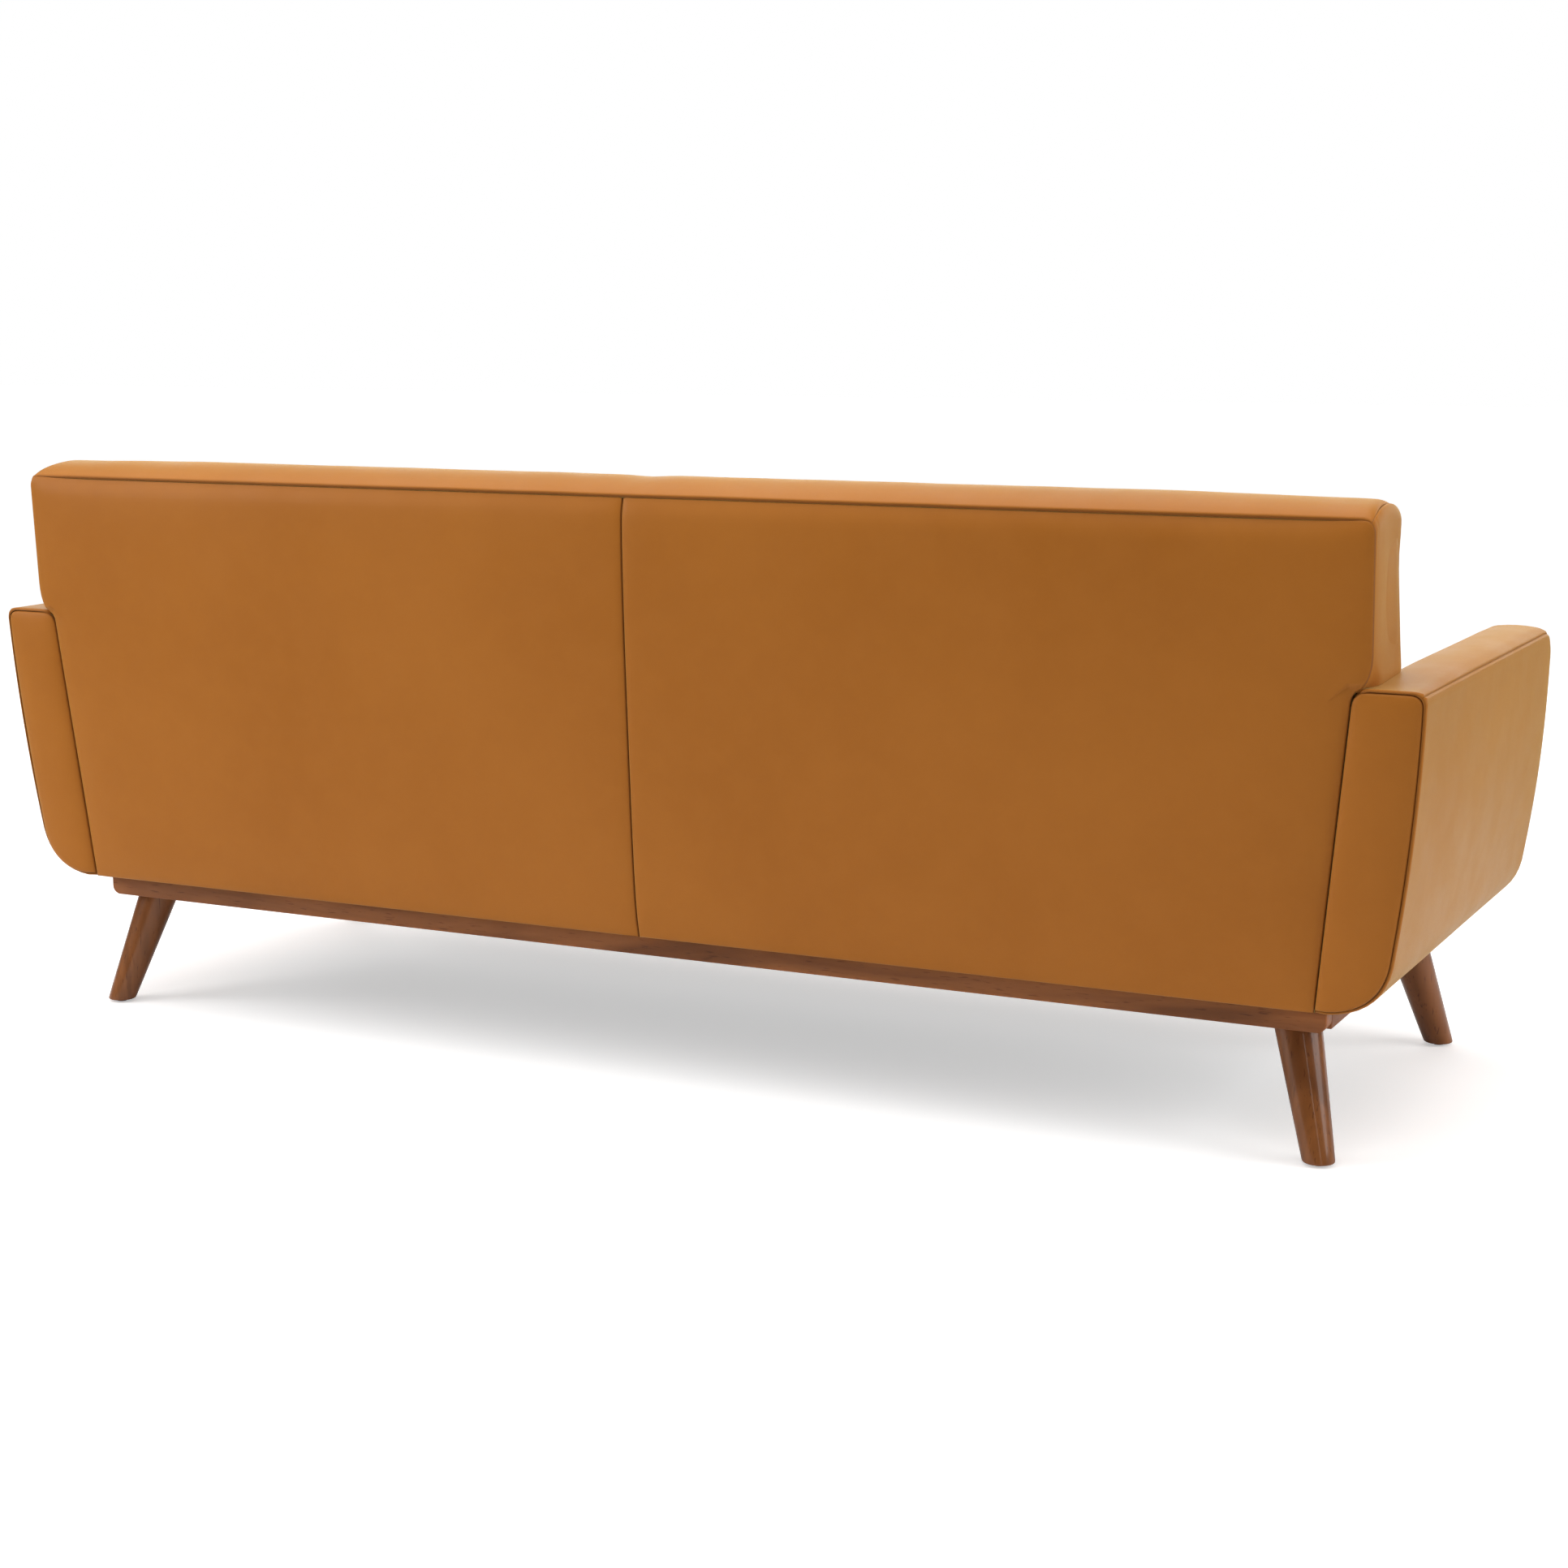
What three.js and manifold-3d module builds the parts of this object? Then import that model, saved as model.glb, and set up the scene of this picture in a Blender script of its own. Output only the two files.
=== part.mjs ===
// Sofa with wooden legs: a three-seat sofa with a leather shell over a wooden frame.
// Millimetres, +Z up, front towards -Y. Left and right are the sitter's, so left is +X.
// The origin is on the floor under the middle of the sofa.
import * as THREE from 'three';
import { mergeVertices } from 'three/addons/utils/BufferGeometryUtils.js';
import Module from 'manifold-3d';

// ---- Driving sizes -------------------------------------------------------------------
const WIDTH = 2300;            // over the outer top edges of the arms
const HEIGHT = 890;            // floor to the crown of the back
const CROWN_RISE = 22;         // rear top seam to the crown of the back
const ARM_HEIGHT = 654;        // floor to the top of the arms
const PLINTH_BOTTOM = 181;     // floor to the underside of the plinth
const PLINTH_HEIGHT = 38;
const PLINTH_WALL = 28;        // thickness of a plinth rail
const PLINTH_ROUND = 14;       // rounding of the rails' lower end corners
const PLINTH_OUTSET = 6;       // how far the plinth ends pass the inner foot of the arms
const PLINTH_SETBACK = 46;     // rear panel's bottom edge to the plinth's rear face
const SHELL_REAR = 398;        // y of the rear panel at its bottom edge
const SHELL_FRONT = -412;      // y of the arm fronts at their bottom edge
const RECLINE = 0.0607;        // rearward lean of the back, per unit of height
const SEAM_GAP = 0.4;          // clearance between neighbouring pieces

const ARM_WIDTH = 97;
const ARM_FLARE = 0.1;         // outward lean of the arms, per unit of height
const ARM_BOW = 5;             // outward swell of the outer side
const ARM_EDGE = 14;           // rounding of the arm's top edges
const ARM_FRONT_LEAN = 0.069;  // rearward lean of the arm fronts, per unit of height
const ARM_NOSE = 42;           // rounding of the arm's top front corner
const ARM_FOOT_FLAT = 18;      // flat strip under the arm, before its rounded underside
const ARM_FOOT_RISE = 86;      // height of the rounded underside
const ARM_FOOT_TUCK = 79;      // how far the rounded underside reaches outwards
const ARM_BOARD = 22;          // wooden panel inside each arm
const ARM_BOARD_INSET = 12;    // padding between the panel and the seat side
const ARM_BOARD_DROP = 42;     // padding over the panel

const BACK_EAR = 25;           // how far the back reaches out over each arm
const EAR_LIFT = 3;            // gap over the arm's top
const EAR_RISE = 44;           // height of the curve from the arm to the back's side
const BACK_CORNER = 18;        // rounding of the back's top corners
const BACK_TOP_DEPTH = 136;    // depth of the back at its top
const BACK_FOOT_DEPTH = 222;   // depth of the back at the seat deck
const CROWN_DEPTH = 86;        // rear seam to the highest line of the back
const CROWN_FALL = 10;         // crown to the front seam of the top band
const LEATHER = 4;             // covers with their wadding
const SKIN = 2;                // plain leather

const RAIL = 30;               // thickness of the seat and back frame timbers
const SEAT_RAIL_HEIGHT = 80;
const POST_WIDTH = 60;
const TOP_RAIL_HEIGHT = 55;
const TOP_RAIL_DROP = 14;      // rear top seam to the top rail
const STRETCHER_WIDTH = 40;

const SPRING_WIRE = 4;
const SPRING_RISE = 10;
const SPRINGS_PER_SIDE = 4;
const SPRING_AMPLITUDE = 24;
const SPRING_WAVES = 12;
const SPRING_TIES = 2;
const STRAP_WIDTH = 60;
const STRAP = 2;
const STRAPS_PER_SIDE = 4;
const STRAP_ROWS = 3;
const DECK = 10;
const DUST_COVER = 1.2;
const BOLT_HOLE_IN_COVER = 14;

const CUSHION_HEIGHT = 124;
const CUSHION_NOSE = 26;       // how far the cushions pass the arm fronts' bottom edge
const CUSHION_ROUND = 20;
const CUSHION_CORNER = 34;
const CUSHION_SIDE_GAP = 3;
const BORDER = 24;             // padded front border under the cushions
const BORDER_PROUD = 6;        // how far the border passes the arm fronts' bottom edge
const ZIP_SLIT = 3;
const ZIP_MARGIN = 60;

const LEG_TOP_RADIUS = 32.8;
const LEG_FOOT_RADIUS = 22.3;
const LEG_SPLAY = 49;          // outward and fore-and-aft travel of the leg's axis
const LEG_INSET = 54;          // plinth faces to the leg's axis at its top
const LEG_BEVEL = 2.5;
const GLIDE_RADIUS = 9;
const GLIDE_HEIGHT = 4;
const GLIDE_PIN_RADIUS = 2.5;
const GLIDE_PIN_LENGTH = 14;
const CORNER_BLOCK = 92;
const BOLT_RADIUS = 4;
const BOLT_IN_LEG = 32;
const BOLT_ABOVE_BLOCK = 9;
const BOLT_CLEARANCE = 0.3;

const BUTTONS_PER_SIDE = 3;
const BUTTON_RADIUS = 14;
const BUTTON_THICKNESS = 7;
const BUTTON_SINK = 22;
const TUFT_RADIUS = 46;
const TUFT_MOUTH = 4;          // how far the tuft's hollow reaches out of the cushion
const BUTTON_HEIGHT = 640;     // floor to the row of buttons

// ---- Sizes that follow ---------------------------------------------------------------
const BODY_BOTTOM = PLINTH_BOTTOM + PLINTH_HEIGHT;
const BACK_SEAM_HEIGHT = HEIGHT - CROWN_RISE;
const ARM_FOOT_X = WIDTH / 2 - ARM_WIDTH - ARM_FLARE * (ARM_HEIGHT - BODY_BOTTOM);
const BACK_HALF = WIDTH / 2 - ARM_WIDTH + BACK_EAR;
const PLINTH_HALF = ARM_FOOT_X + PLINTH_OUTSET;
const PLINTH_REAR = SHELL_REAR - PLINTH_SETBACK;
const FRAME_FRONT = SHELL_FRONT + BORDER + SEAM_GAP - BORDER_PROUD;
const PLINTH_FRONT = FRAME_FRONT + PLINTH_SETBACK;
const FRAME_HALF = ARM_FOOT_X - CUSHION_SIDE_GAP;
const POST_REAR = LEATHER + CUSHION_SIDE_GAP;          // depth behind which the posts start
const POST_FRONT = POST_REAR + RAIL;
const FRAME_REAR = SHELL_REAR - POST_FRONT;
const RAIL_TOP = BODY_BOTTOM + SEAT_RAIL_HEIGHT;
const SPRING_LEVEL = RAIL_TOP + SEAM_GAP + SPRING_WIRE / 2;
const DECK_BOTTOM = SPRING_LEVEL + SPRING_RISE + SPRING_WIRE / 2 + SEAM_GAP;
const DECK_TOP = DECK_BOTTOM + DECK;
const CUSHION_BOTTOM = DECK_TOP + SEAM_GAP;
const CUSHION_FRONT = SHELL_FRONT - CUSHION_NOSE;
const FAR = WIDTH;             // longer than anything it cuts

const SIDES = [['left', 1], ['right', -1]];

const wasm = await Module();
wasm.setup();

// ---- Materials -----------------------------------------------------------------------
const finish = (color, roughness, metalness = 0) => ({ color, roughness, metalness });
const HIDE = finish(0xa4652f, 0.45);
const STAINED_WOOD = finish(0x744d38, 0.4);
const BARE_WOOD = finish(0xc8a878, 0.7);
const STEEL = finish(0x8f9296, 0.35, 1);
const BLACK_PLASTIC = finish(0x17171a, 0.5);
const WEBBING = finish(0x2c2c2e, 0.85);
const LINING = finish(0x3a3634, 0.95);
const FOAM = finish(0xe8dfc4, 0.95);

// ---- Geometry helpers ----------------------------------------------------------------
function closed(geometry) {
  const bare = geometry.clone();
  bare.deleteAttribute('normal');
  bare.deleteAttribute('uv');
  const merged = mergeVertices(bare, 1e-4);
  merged.computeVertexNormals();
  return merged;
}

function toManifold(geometry) {
  const merged = closed(geometry);
  return new wasm.Manifold(new wasm.Mesh({
    numProp: 3,
    vertProperties: Float32Array.from(merged.attributes.position.array),
    triVerts: Uint32Array.from(merged.index.array),
  }));
}

function toGeometry(manifold) {
  const mesh = manifold.getMesh();
  const geometry = new THREE.BufferGeometry();
  geometry.setAttribute('position', new THREE.BufferAttribute(mesh.vertProperties, 3));
  geometry.setIndex(new THREE.BufferAttribute(mesh.triVerts, 1));
  geometry.computeVertexNormals();
  return geometry;
}

const combine = (first, rest, operation) =>
  toGeometry(rest.reduce((result, next) => result[operation](toManifold(next)), toManifold(first)));
const cut = (base, ...tools) => combine(base, tools, 'subtract');
const join = (base, ...others) => combine(base, others, 'add');
const common = (base, ...others) => combine(base, others, 'intersect');

function box([x0, x1], [y0, y1], [z0, z1]) {
  const geometry = new THREE.BoxGeometry(x1 - x0, y1 - y0, z1 - z0);
  return geometry.translate((x0 + x1) / 2, (y0 + y1) / 2, (z0 + z1) / 2);
}

function post(radius, x, y, z0, z1, sides = 16) {
  const geometry = new THREE.CylinderGeometry(radius, radius, z1 - z0, sides);
  return geometry.rotateX(Math.PI / 2).translate(x, y, (z0 + z1) / 2);
}

// An outline in X and Z, run along Y between two depths.
function alongDepth(outline, rear, front) {
  const options = { depth: rear - front, bevelEnabled: false, curveSegments: 6 };
  const geometry = new THREE.ExtrudeGeometry(outline, options);
  return geometry.rotateX(Math.PI / 2).translate(0, rear, 0);
}

// An outline in Y and Z, run along X between two places.
function alongWidth(outline, x0, x1) {
  const options = { depth: x1 - x0, bevelEnabled: false, curveSegments: 6 };
  const geometry = new THREE.ExtrudeGeometry(outline, options);
  const toSide = new THREE.Matrix4().makeBasis(
    new THREE.Vector3(0, 1, 0), new THREE.Vector3(0, 0, 1), new THREE.Vector3(1, 0, 0));
  return geometry.applyMatrix4(toSide).translate(x0, 0, 0);
}

function reshape(geometry, move) {
  const shaped = closed(geometry);
  const places = shaped.attributes.position;
  const point = new THREE.Vector3();
  for (let i = 0; i < places.count; i += 1) {
    move(point.fromBufferAttribute(places, i));
    places.setXYZ(i, point.x, point.y, point.z);
  }
  shaped.computeVertexNormals();
  return shaped;
}

// Leans an upright piece rearwards with the back, by its height over the body's bottom.
const lean = (geometry) => reshape(geometry, (p) => {
  p.y += RECLINE * (p.z - BODY_BOTTOM);
});

// The same piece for the other side of the sofa.
function mirrored(geometry) {
  const other = reshape(geometry, (p) => {
    p.x = -p.x;
  });
  const corners = other.index.array;
  for (let i = 0; i < corners.length; i += 3) {
    [corners[i], corners[i + 1]] = [corners[i + 1], corners[i]];
  }
  other.computeVertexNormals();
  return other;
}

const onSide = (geometry, sign) => (sign > 0 ? geometry : mirrored(geometry));
const sofa = new THREE.Group();

function add(name, geometry, look) {
  const mesh = new THREE.Mesh(closed(geometry), new THREE.MeshStandardMaterial(look));
  mesh.name = name;
  sofa.add(mesh);
}

// ---- Lines that several pieces share -------------------------------------------------
const armInner = (z) => ARM_FOOT_X + ARM_FLARE * (z - BODY_BOTTOM);
const armFront = (z) => SHELL_FRONT + ARM_FRONT_LEAN * (z - BODY_BOTTOM);

// Depth of the back at a height, before it is leaned.
function backDepth(z) {
  const share = (z - CUSHION_BOTTOM) / (HEIGHT - CROWN_FALL - CUSHION_BOTTOM);
  return THREE.MathUtils.lerp(BACK_FOOT_DEPTH, BACK_TOP_DEPTH, share);
}
const backFront = (z) => SHELL_REAR - backDepth(z) + RECLINE * (z - BODY_BOTTOM);

// ---- Plinth and legs -----------------------------------------------------------------
function addPlinth() {
  const height = [PLINTH_BOTTOM, BODY_BOTTOM - SEAM_GAP];
  const innerHalf = PLINTH_HALF - PLINTH_WALL - SEAM_GAP;
  const whole = [-PLINTH_HALF, PLINTH_HALF];
  const rear = [PLINTH_REAR - PLINTH_WALL, PLINTH_REAR];
  const front = [PLINTH_FRONT, PLINTH_FRONT + PLINTH_WALL];
  const between = [front[1] + SEAM_GAP, rear[0] - SEAM_GAP];
  add('plinth_rail_back', softEndedRail(whole, rear, height), STAINED_WOOD);
  add('plinth_rail_front', softEndedRail(whole, front, height), STAINED_WOOD);
  for (const [side, sign] of SIDES) {
    const rail = box([innerHalf + SEAM_GAP, PLINTH_HALF], between, height);
    add(`plinth_rail_${side}`, onSide(rail, sign), STAINED_WOOD);
    addCorner(`back_${side}`, sign, innerHalf, between[1], -1, height);
    addCorner(`front_${side}`, sign, innerHalf, between[0], 1, height);
  }
}

// A rail whose lower end corners are rounded.
function softEndedRail([x0, x1], [y0, y1], [z0, z1]) {
  const round = PLINTH_ROUND;
  const outline = new THREE.Shape();
  outline.moveTo(x0 + round, z0);
  outline.lineTo(x1 - round, z0);
  outline.quadraticCurveTo(x1, z0, x1, z0 + round);
  outline.lineTo(x1, z1);
  outline.lineTo(x0, z1);
  outline.lineTo(x0, z0 + round);
  outline.quadraticCurveTo(x0, z0, x0 + round, z0);
  return alongDepth(outline, y1, y0);
}

function addCorner(place, sign, innerX, innerY, inwards, height) {
  const farY = innerY + inwards * CORNER_BLOCK;
  const depth = [Math.min(innerY, farY), Math.max(innerY, farY)];
  const face = inwards < 0 ? PLINTH_REAR : PLINTH_FRONT;
  const boltX = PLINTH_HALF - LEG_INSET;
  const boltY = face + inwards * LEG_INSET;
  const hole = post(BOLT_RADIUS + BOLT_CLEARANCE, boltX, boltY, height[0] - 1, height[1] + 1);
  const block = cut(box([innerX - CORNER_BLOCK, innerX], depth, height), hole);
  add(`corner_block_${place}`, onSide(block, sign), BARE_WOOD);
  const boltTop = height[1] + BOLT_ABOVE_BLOCK;
  const bolt = post(BOLT_RADIUS, boltX, boltY, PLINTH_BOTTOM - BOLT_IN_LEG, boltTop, 12);
  add(`leg_bolt_${place}`, onSide(bolt, sign), STEEL);
  addLeg(place, sign, boltX, boltY, -inwards);
}

// A round tapered leg that splays outwards and, by "away", rearwards or forwards.
function addLeg(place, sign, topX, topY, away) {
  const top = PLINTH_BOTTOM - SEAM_GAP;
  const foot = GLIDE_HEIGHT;
  const profile = [
    new THREE.Vector2(0, foot),
    new THREE.Vector2(LEG_FOOT_RADIUS - LEG_BEVEL, foot),
    new THREE.Vector2(LEG_FOOT_RADIUS, foot + LEG_BEVEL),
    new THREE.Vector2(LEG_TOP_RADIUS, top),
    new THREE.Vector2(0, top),
  ];
  const upright = new THREE.LatheGeometry(profile, 28).rotateX(Math.PI / 2);
  const splayed = reshape(upright, (p) => {
    const travel = LEG_SPLAY * (top - p.z) / (top - foot);
    p.x += topX + travel;
    p.y += topY + away * travel;
  });
  const footX = topX + LEG_SPLAY;
  const footY = topY + away * LEG_SPLAY;
  const boltEnd = PLINTH_BOTTOM - BOLT_IN_LEG - SEAM_GAP;
  const boltBore = post(BOLT_RADIUS + BOLT_CLEARANCE, topX, topY, boltEnd, top + 1);
  const pinEnd = foot + GLIDE_PIN_LENGTH;
  const pinBore = post(GLIDE_PIN_RADIUS + BOLT_CLEARANCE, footX, footY, foot - 1, pinEnd, 12);
  add(`leg_${place}`, onSide(cut(splayed, boltBore, pinBore), sign), STAINED_WOOD);
  add(`glide_${place}`, onSide(glide().translate(footX, footY, 0), sign), BLACK_PLASTIC);
}

function glide() {
  const disc = GLIDE_HEIGHT - SEAM_GAP;
  const tip = GLIDE_HEIGHT + GLIDE_PIN_LENGTH - SEAM_GAP;
  const profile = [
    new THREE.Vector2(0, 0),
    new THREE.Vector2(GLIDE_RADIUS - 1, 0),
    new THREE.Vector2(GLIDE_RADIUS, 1),
    new THREE.Vector2(GLIDE_RADIUS, disc),
    new THREE.Vector2(GLIDE_PIN_RADIUS, disc),
    new THREE.Vector2(GLIDE_PIN_RADIUS, tip),
    new THREE.Vector2(0, tip),
  ];
  return new THREE.LatheGeometry(profile, 20).rotateX(Math.PI / 2);
}

// ---- Seat frame, springs and deck ----------------------------------------------------
const seatBay = {
  front: FRAME_FRONT + RAIL + SEAM_GAP,
  rear: FRAME_REAR - RAIL - 2 * SEAM_GAP,
  half: FRAME_HALF - RAIL - SEAM_GAP,
};

function addSeatFrame() {
  const height = [BODY_BOTTOM, RAIL_TOP];
  const whole = [-FRAME_HALF, FRAME_HALF];
  const frontRail = box(whole, [FRAME_FRONT, FRAME_FRONT + RAIL], height);
  const backRail = box(whole, [seatBay.rear + SEAM_GAP, FRAME_REAR - SEAM_GAP], height);
  add('seat_rail_front', frontRail, BARE_WOOD);
  add('seat_rail_back', backRail, BARE_WOOD);
  for (const [side, sign] of SIDES) {
    const rail = box([seatBay.half + SEAM_GAP, FRAME_HALF], [seatBay.front, seatBay.rear], height);
    add(`seat_rail_${side}`, onSide(rail, sign), BARE_WOOD);
  }
  const coverTop = BODY_BOTTOM + DUST_COVER + SEAM_GAP;
  const stretcher = box([-STRETCHER_WIDTH / 2, STRETCHER_WIDTH / 2],
    [seatBay.front, seatBay.rear], [coverTop, RAIL_TOP - SPRING_RISE]);
  add('seat_stretcher_centre', stretcher, BARE_WOOD);
}

function addDustCover() {
  const inset = SEAM_GAP;
  const sheet = box([-seatBay.half + inset, seatBay.half - inset],
    [seatBay.front + inset, seatBay.rear - inset], [BODY_BOTTOM, BODY_BOTTOM + DUST_COVER]);
  const holes = [];
  for (const x of [-1, 1].map((sign) => sign * (PLINTH_HALF - LEG_INSET))) {
    for (const y of [PLINTH_REAR - LEG_INSET, PLINTH_FRONT + LEG_INSET]) {
      holes.push(post(BOLT_HOLE_IN_COVER / 2, x, y, PLINTH_BOTTOM, RAIL_TOP, 12));
    }
  }
  add('dust_cover', cut(sheet, ...holes), LINING);
}

// A zigzag wire that arches from the front rail to the back rail.
class ZigzagSpring extends THREE.Curve {
  constructor(x, front, rear) {
    super();
    Object.assign(this, { x, front, rear });
  }

  getPoint(t, target = new THREE.Vector3()) {
    const sway = SPRING_AMPLITUDE * Math.sin(2 * Math.PI * SPRING_WAVES * t);
    const rise = SPRING_RISE * Math.sin(Math.PI * t);
    const y = THREE.MathUtils.lerp(this.front, this.rear, t);
    return target.set(this.x + sway, y, SPRING_LEVEL + rise);
  }
}

function wire(curve, steps, sides = 4) {
  const section = new THREE.Shape();
  for (let i = 0; i < sides; i += 1) {
    const angle = 2 * Math.PI * i / sides;
    const corner = [SPRING_WIRE / 2 * Math.cos(angle), SPRING_WIRE / 2 * Math.sin(angle)];
    section[i === 0 ? 'moveTo' : 'lineTo'](...corner);
  }
  return new THREE.ExtrudeGeometry(section, { extrudePath: curve, steps, bevelEnabled: false });
}

function addSprings() {
  const front = FRAME_FRONT + RAIL / 2;
  const rear = FRAME_REAR - RAIL / 2;
  const pitch = seatBay.half / (SPRINGS_PER_SIDE + 0.5);
  const springs = [];
  for (let i = 0; i < SPRINGS_PER_SIDE; i += 1) {
    for (const sign of [1, -1]) {
      const curve = new ZigzagSpring(sign * pitch * (i + 0.75), front, rear);
      springs.push(wire(curve, SPRING_WAVES * 4));
    }
  }
  for (let i = 1; i <= SPRING_TIES; i += 1) {
    const share = i / (SPRING_TIES + 1);
    const y = THREE.MathUtils.lerp(front, rear, share);
    const z = SPRING_LEVEL + SPRING_RISE * Math.sin(Math.PI * share);
    const half = pitch * (SPRINGS_PER_SIDE - 0.25) + SPRING_AMPLITUDE / 2;
    const tie = new THREE.LineCurve3(new THREE.Vector3(-half, y, z), new THREE.Vector3(half, y, z));
    springs.push(wire(tie, 1));
  }
  add('seat_spring_set', join(...springs), STEEL);
}

function addDeck() {
  const deck = box([-FRAME_HALF, FRAME_HALF], [FRAME_FRONT, FRAME_REAR - RAIL / 2],
    [DECK_BOTTOM, DECK_TOP]);
  add('seat_deck', deck, LINING);
}

function addFrontBorder() {
  const rear = FRAME_FRONT - SEAM_GAP;
  const front = rear - BORDER;
  const top = DECK_TOP;
  const round = BORDER / 2;
  const outline = new THREE.Shape();
  outline.moveTo(rear, BODY_BOTTOM);
  outline.lineTo(rear, top);
  outline.lineTo(front + round, top);
  outline.quadraticCurveTo(front, top, front, top - round);
  outline.lineTo(front, BODY_BOTTOM + round);
  outline.quadraticCurveTo(front, BODY_BOTTOM, front + round, BODY_BOTTOM);
  outline.closePath();
  const half = ARM_FOOT_X - SEAM_GAP;
  add('seat_front_border', alongWidth(outline, -half, half), HIDE);
}

// ---- Seat cushions -------------------------------------------------------------------
// A box with rounded upright corners and rounded edges, grown inwards by "inset".
function cushionSolid([x0, x1], [y0, y1], [z0, z1], inset) {
  const round = CUSHION_ROUND - inset;
  const corner = CUSHION_CORNER - CUSHION_ROUND;
  const [left, right] = [x0 + CUSHION_ROUND, x1 - CUSHION_ROUND];
  const [low, high] = [y0 + CUSHION_ROUND, y1 - CUSHION_ROUND];
  const outline = new THREE.Shape();
  outline.moveTo(left + corner, low);
  outline.lineTo(right - corner, low);
  outline.quadraticCurveTo(right, low, right, low + corner);
  outline.lineTo(right, high - corner);
  outline.quadraticCurveTo(right, high, right - corner, high);
  outline.lineTo(left + corner, high);
  outline.quadraticCurveTo(left, high, left, high - corner);
  outline.lineTo(left, low + corner);
  outline.quadraticCurveTo(left, low, left + corner, low);
  const options = {
    depth: z1 - z0 - 2 * CUSHION_ROUND,
    bevelSize: round,
    bevelThickness: round,
    bevelSegments: 3,
    curveSegments: 4,
  };
  return new THREE.ExtrudeGeometry(outline, options).translate(0, 0, z0 + CUSHION_ROUND);
}

function addSeatCushions() {
  const width = [SEAM_GAP * 3, armInner(CUSHION_BOTTOM) - CUSHION_SIDE_GAP];
  const depth = [CUSHION_FRONT, backFront(CUSHION_BOTTOM) - CUSHION_SIDE_GAP];
  const height = [CUSHION_BOTTOM, CUSHION_BOTTOM + CUSHION_HEIGHT];
  const middle = (height[0] + height[1]) / 2;
  const slit = box([width[0] + ZIP_MARGIN, width[1] - ZIP_MARGIN],
    [depth[1] - CUSHION_ROUND, depth[1] + CUSHION_ROUND],
    [middle - ZIP_SLIT / 2, middle + ZIP_SLIT / 2]);
  const hollow = cushionSolid(width, depth, height, SKIN);
  const cover = cut(cushionSolid(width, depth, height, 0), hollow, slit);
  const core = cushionSolid(width, depth, height, SKIN + SEAM_GAP);
  for (const [side, sign] of SIDES) {
    add(`seat_cushion_cover_${side}`, onSide(cover, sign), HIDE);
    add(`seat_cushion_core_${side}`, onSide(core, sign), FOAM);
  }
}

// ---- Arms ----------------------------------------------------------------------------
// The arm seen from the rear, in X and Z, grown inwards by "inset".
function armSection(inset) {
  const bottom = BODY_BOTTOM + inset;
  const top = ARM_HEIGHT - inset;
  const inner = (z) => armInner(z) + inset;
  const outer = (z) => armInner(z) + ARM_WIDTH - inset;
  const edge = ARM_EDGE;
  const footEnd = BODY_BOTTOM + ARM_FOOT_RISE;
  const flatEnd = ARM_FOOT_X + ARM_FOOT_FLAT;
  const tuckX = flatEnd + ARM_FOOT_TUCK - inset;
  const bowZ = (footEnd + top - edge) / 2;
  const section = new THREE.Shape();
  section.moveTo(inner(bottom), bottom);
  section.lineTo(flatEnd, bottom);
  section.quadraticCurveTo(tuckX, BODY_BOTTOM + ARM_EDGE / 2 + inset, outer(footEnd), footEnd);
  section.quadraticCurveTo(outer(bowZ) + 2 * ARM_BOW, bowZ, outer(top - edge), top - edge);
  section.quadraticCurveTo(outer(top), top, outer(top) - edge, top);
  section.lineTo(inner(top) + edge, top);
  section.quadraticCurveTo(inner(top), top, inner(top - edge), top - edge);
  section.closePath();
  return section;
}

// A slab between the rear plane moved forwards by "rear" and the arm front moved back by
// "front", seen from the side. The top front corner is rounded.
function armProfile(rear, front) {
  const rearAt = (z) => SHELL_REAR + RECLINE * (z - BODY_BOTTOM) - rear;
  const frontAt = (z) => armFront(z) + front;
  const [low, high] = [BODY_BOTTOM - ARM_NOSE, ARM_HEIGHT];
  const profile = new THREE.Shape();
  profile.moveTo(rearAt(low), low);
  profile.lineTo(rearAt(high), high);
  profile.lineTo(frontAt(high) + ARM_NOSE, high);
  profile.quadraticCurveTo(frontAt(high), high, frontAt(high - ARM_NOSE), high - ARM_NOSE);
  profile.lineTo(frontAt(low), low);
  profile.closePath();
  return profile;
}

function armBoard(clearance, extraDrop) {
  const bottom = BODY_BOTTOM + ARM_EDGE / 2 - extraDrop;
  const top = ARM_HEIGHT - ARM_BOARD_DROP + clearance;
  const inner = (z) => armInner(z) + ARM_BOARD_INSET - clearance;
  const outer = (z) => armInner(z) + ARM_BOARD_INSET + ARM_BOARD + clearance;
  const outline = new THREE.Shape();
  outline.moveTo(inner(bottom), bottom);
  outline.lineTo(outer(bottom), bottom);
  outline.lineTo(outer(top), top);
  outline.lineTo(inner(top), top);
  outline.closePath();
  const rear = SHELL_REAR - ARM_BOARD_DROP + clearance;
  return alongDepth(outline, rear, armFront(ARM_HEIGHT) + ARM_BOARD_DROP - clearance);
}

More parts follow.
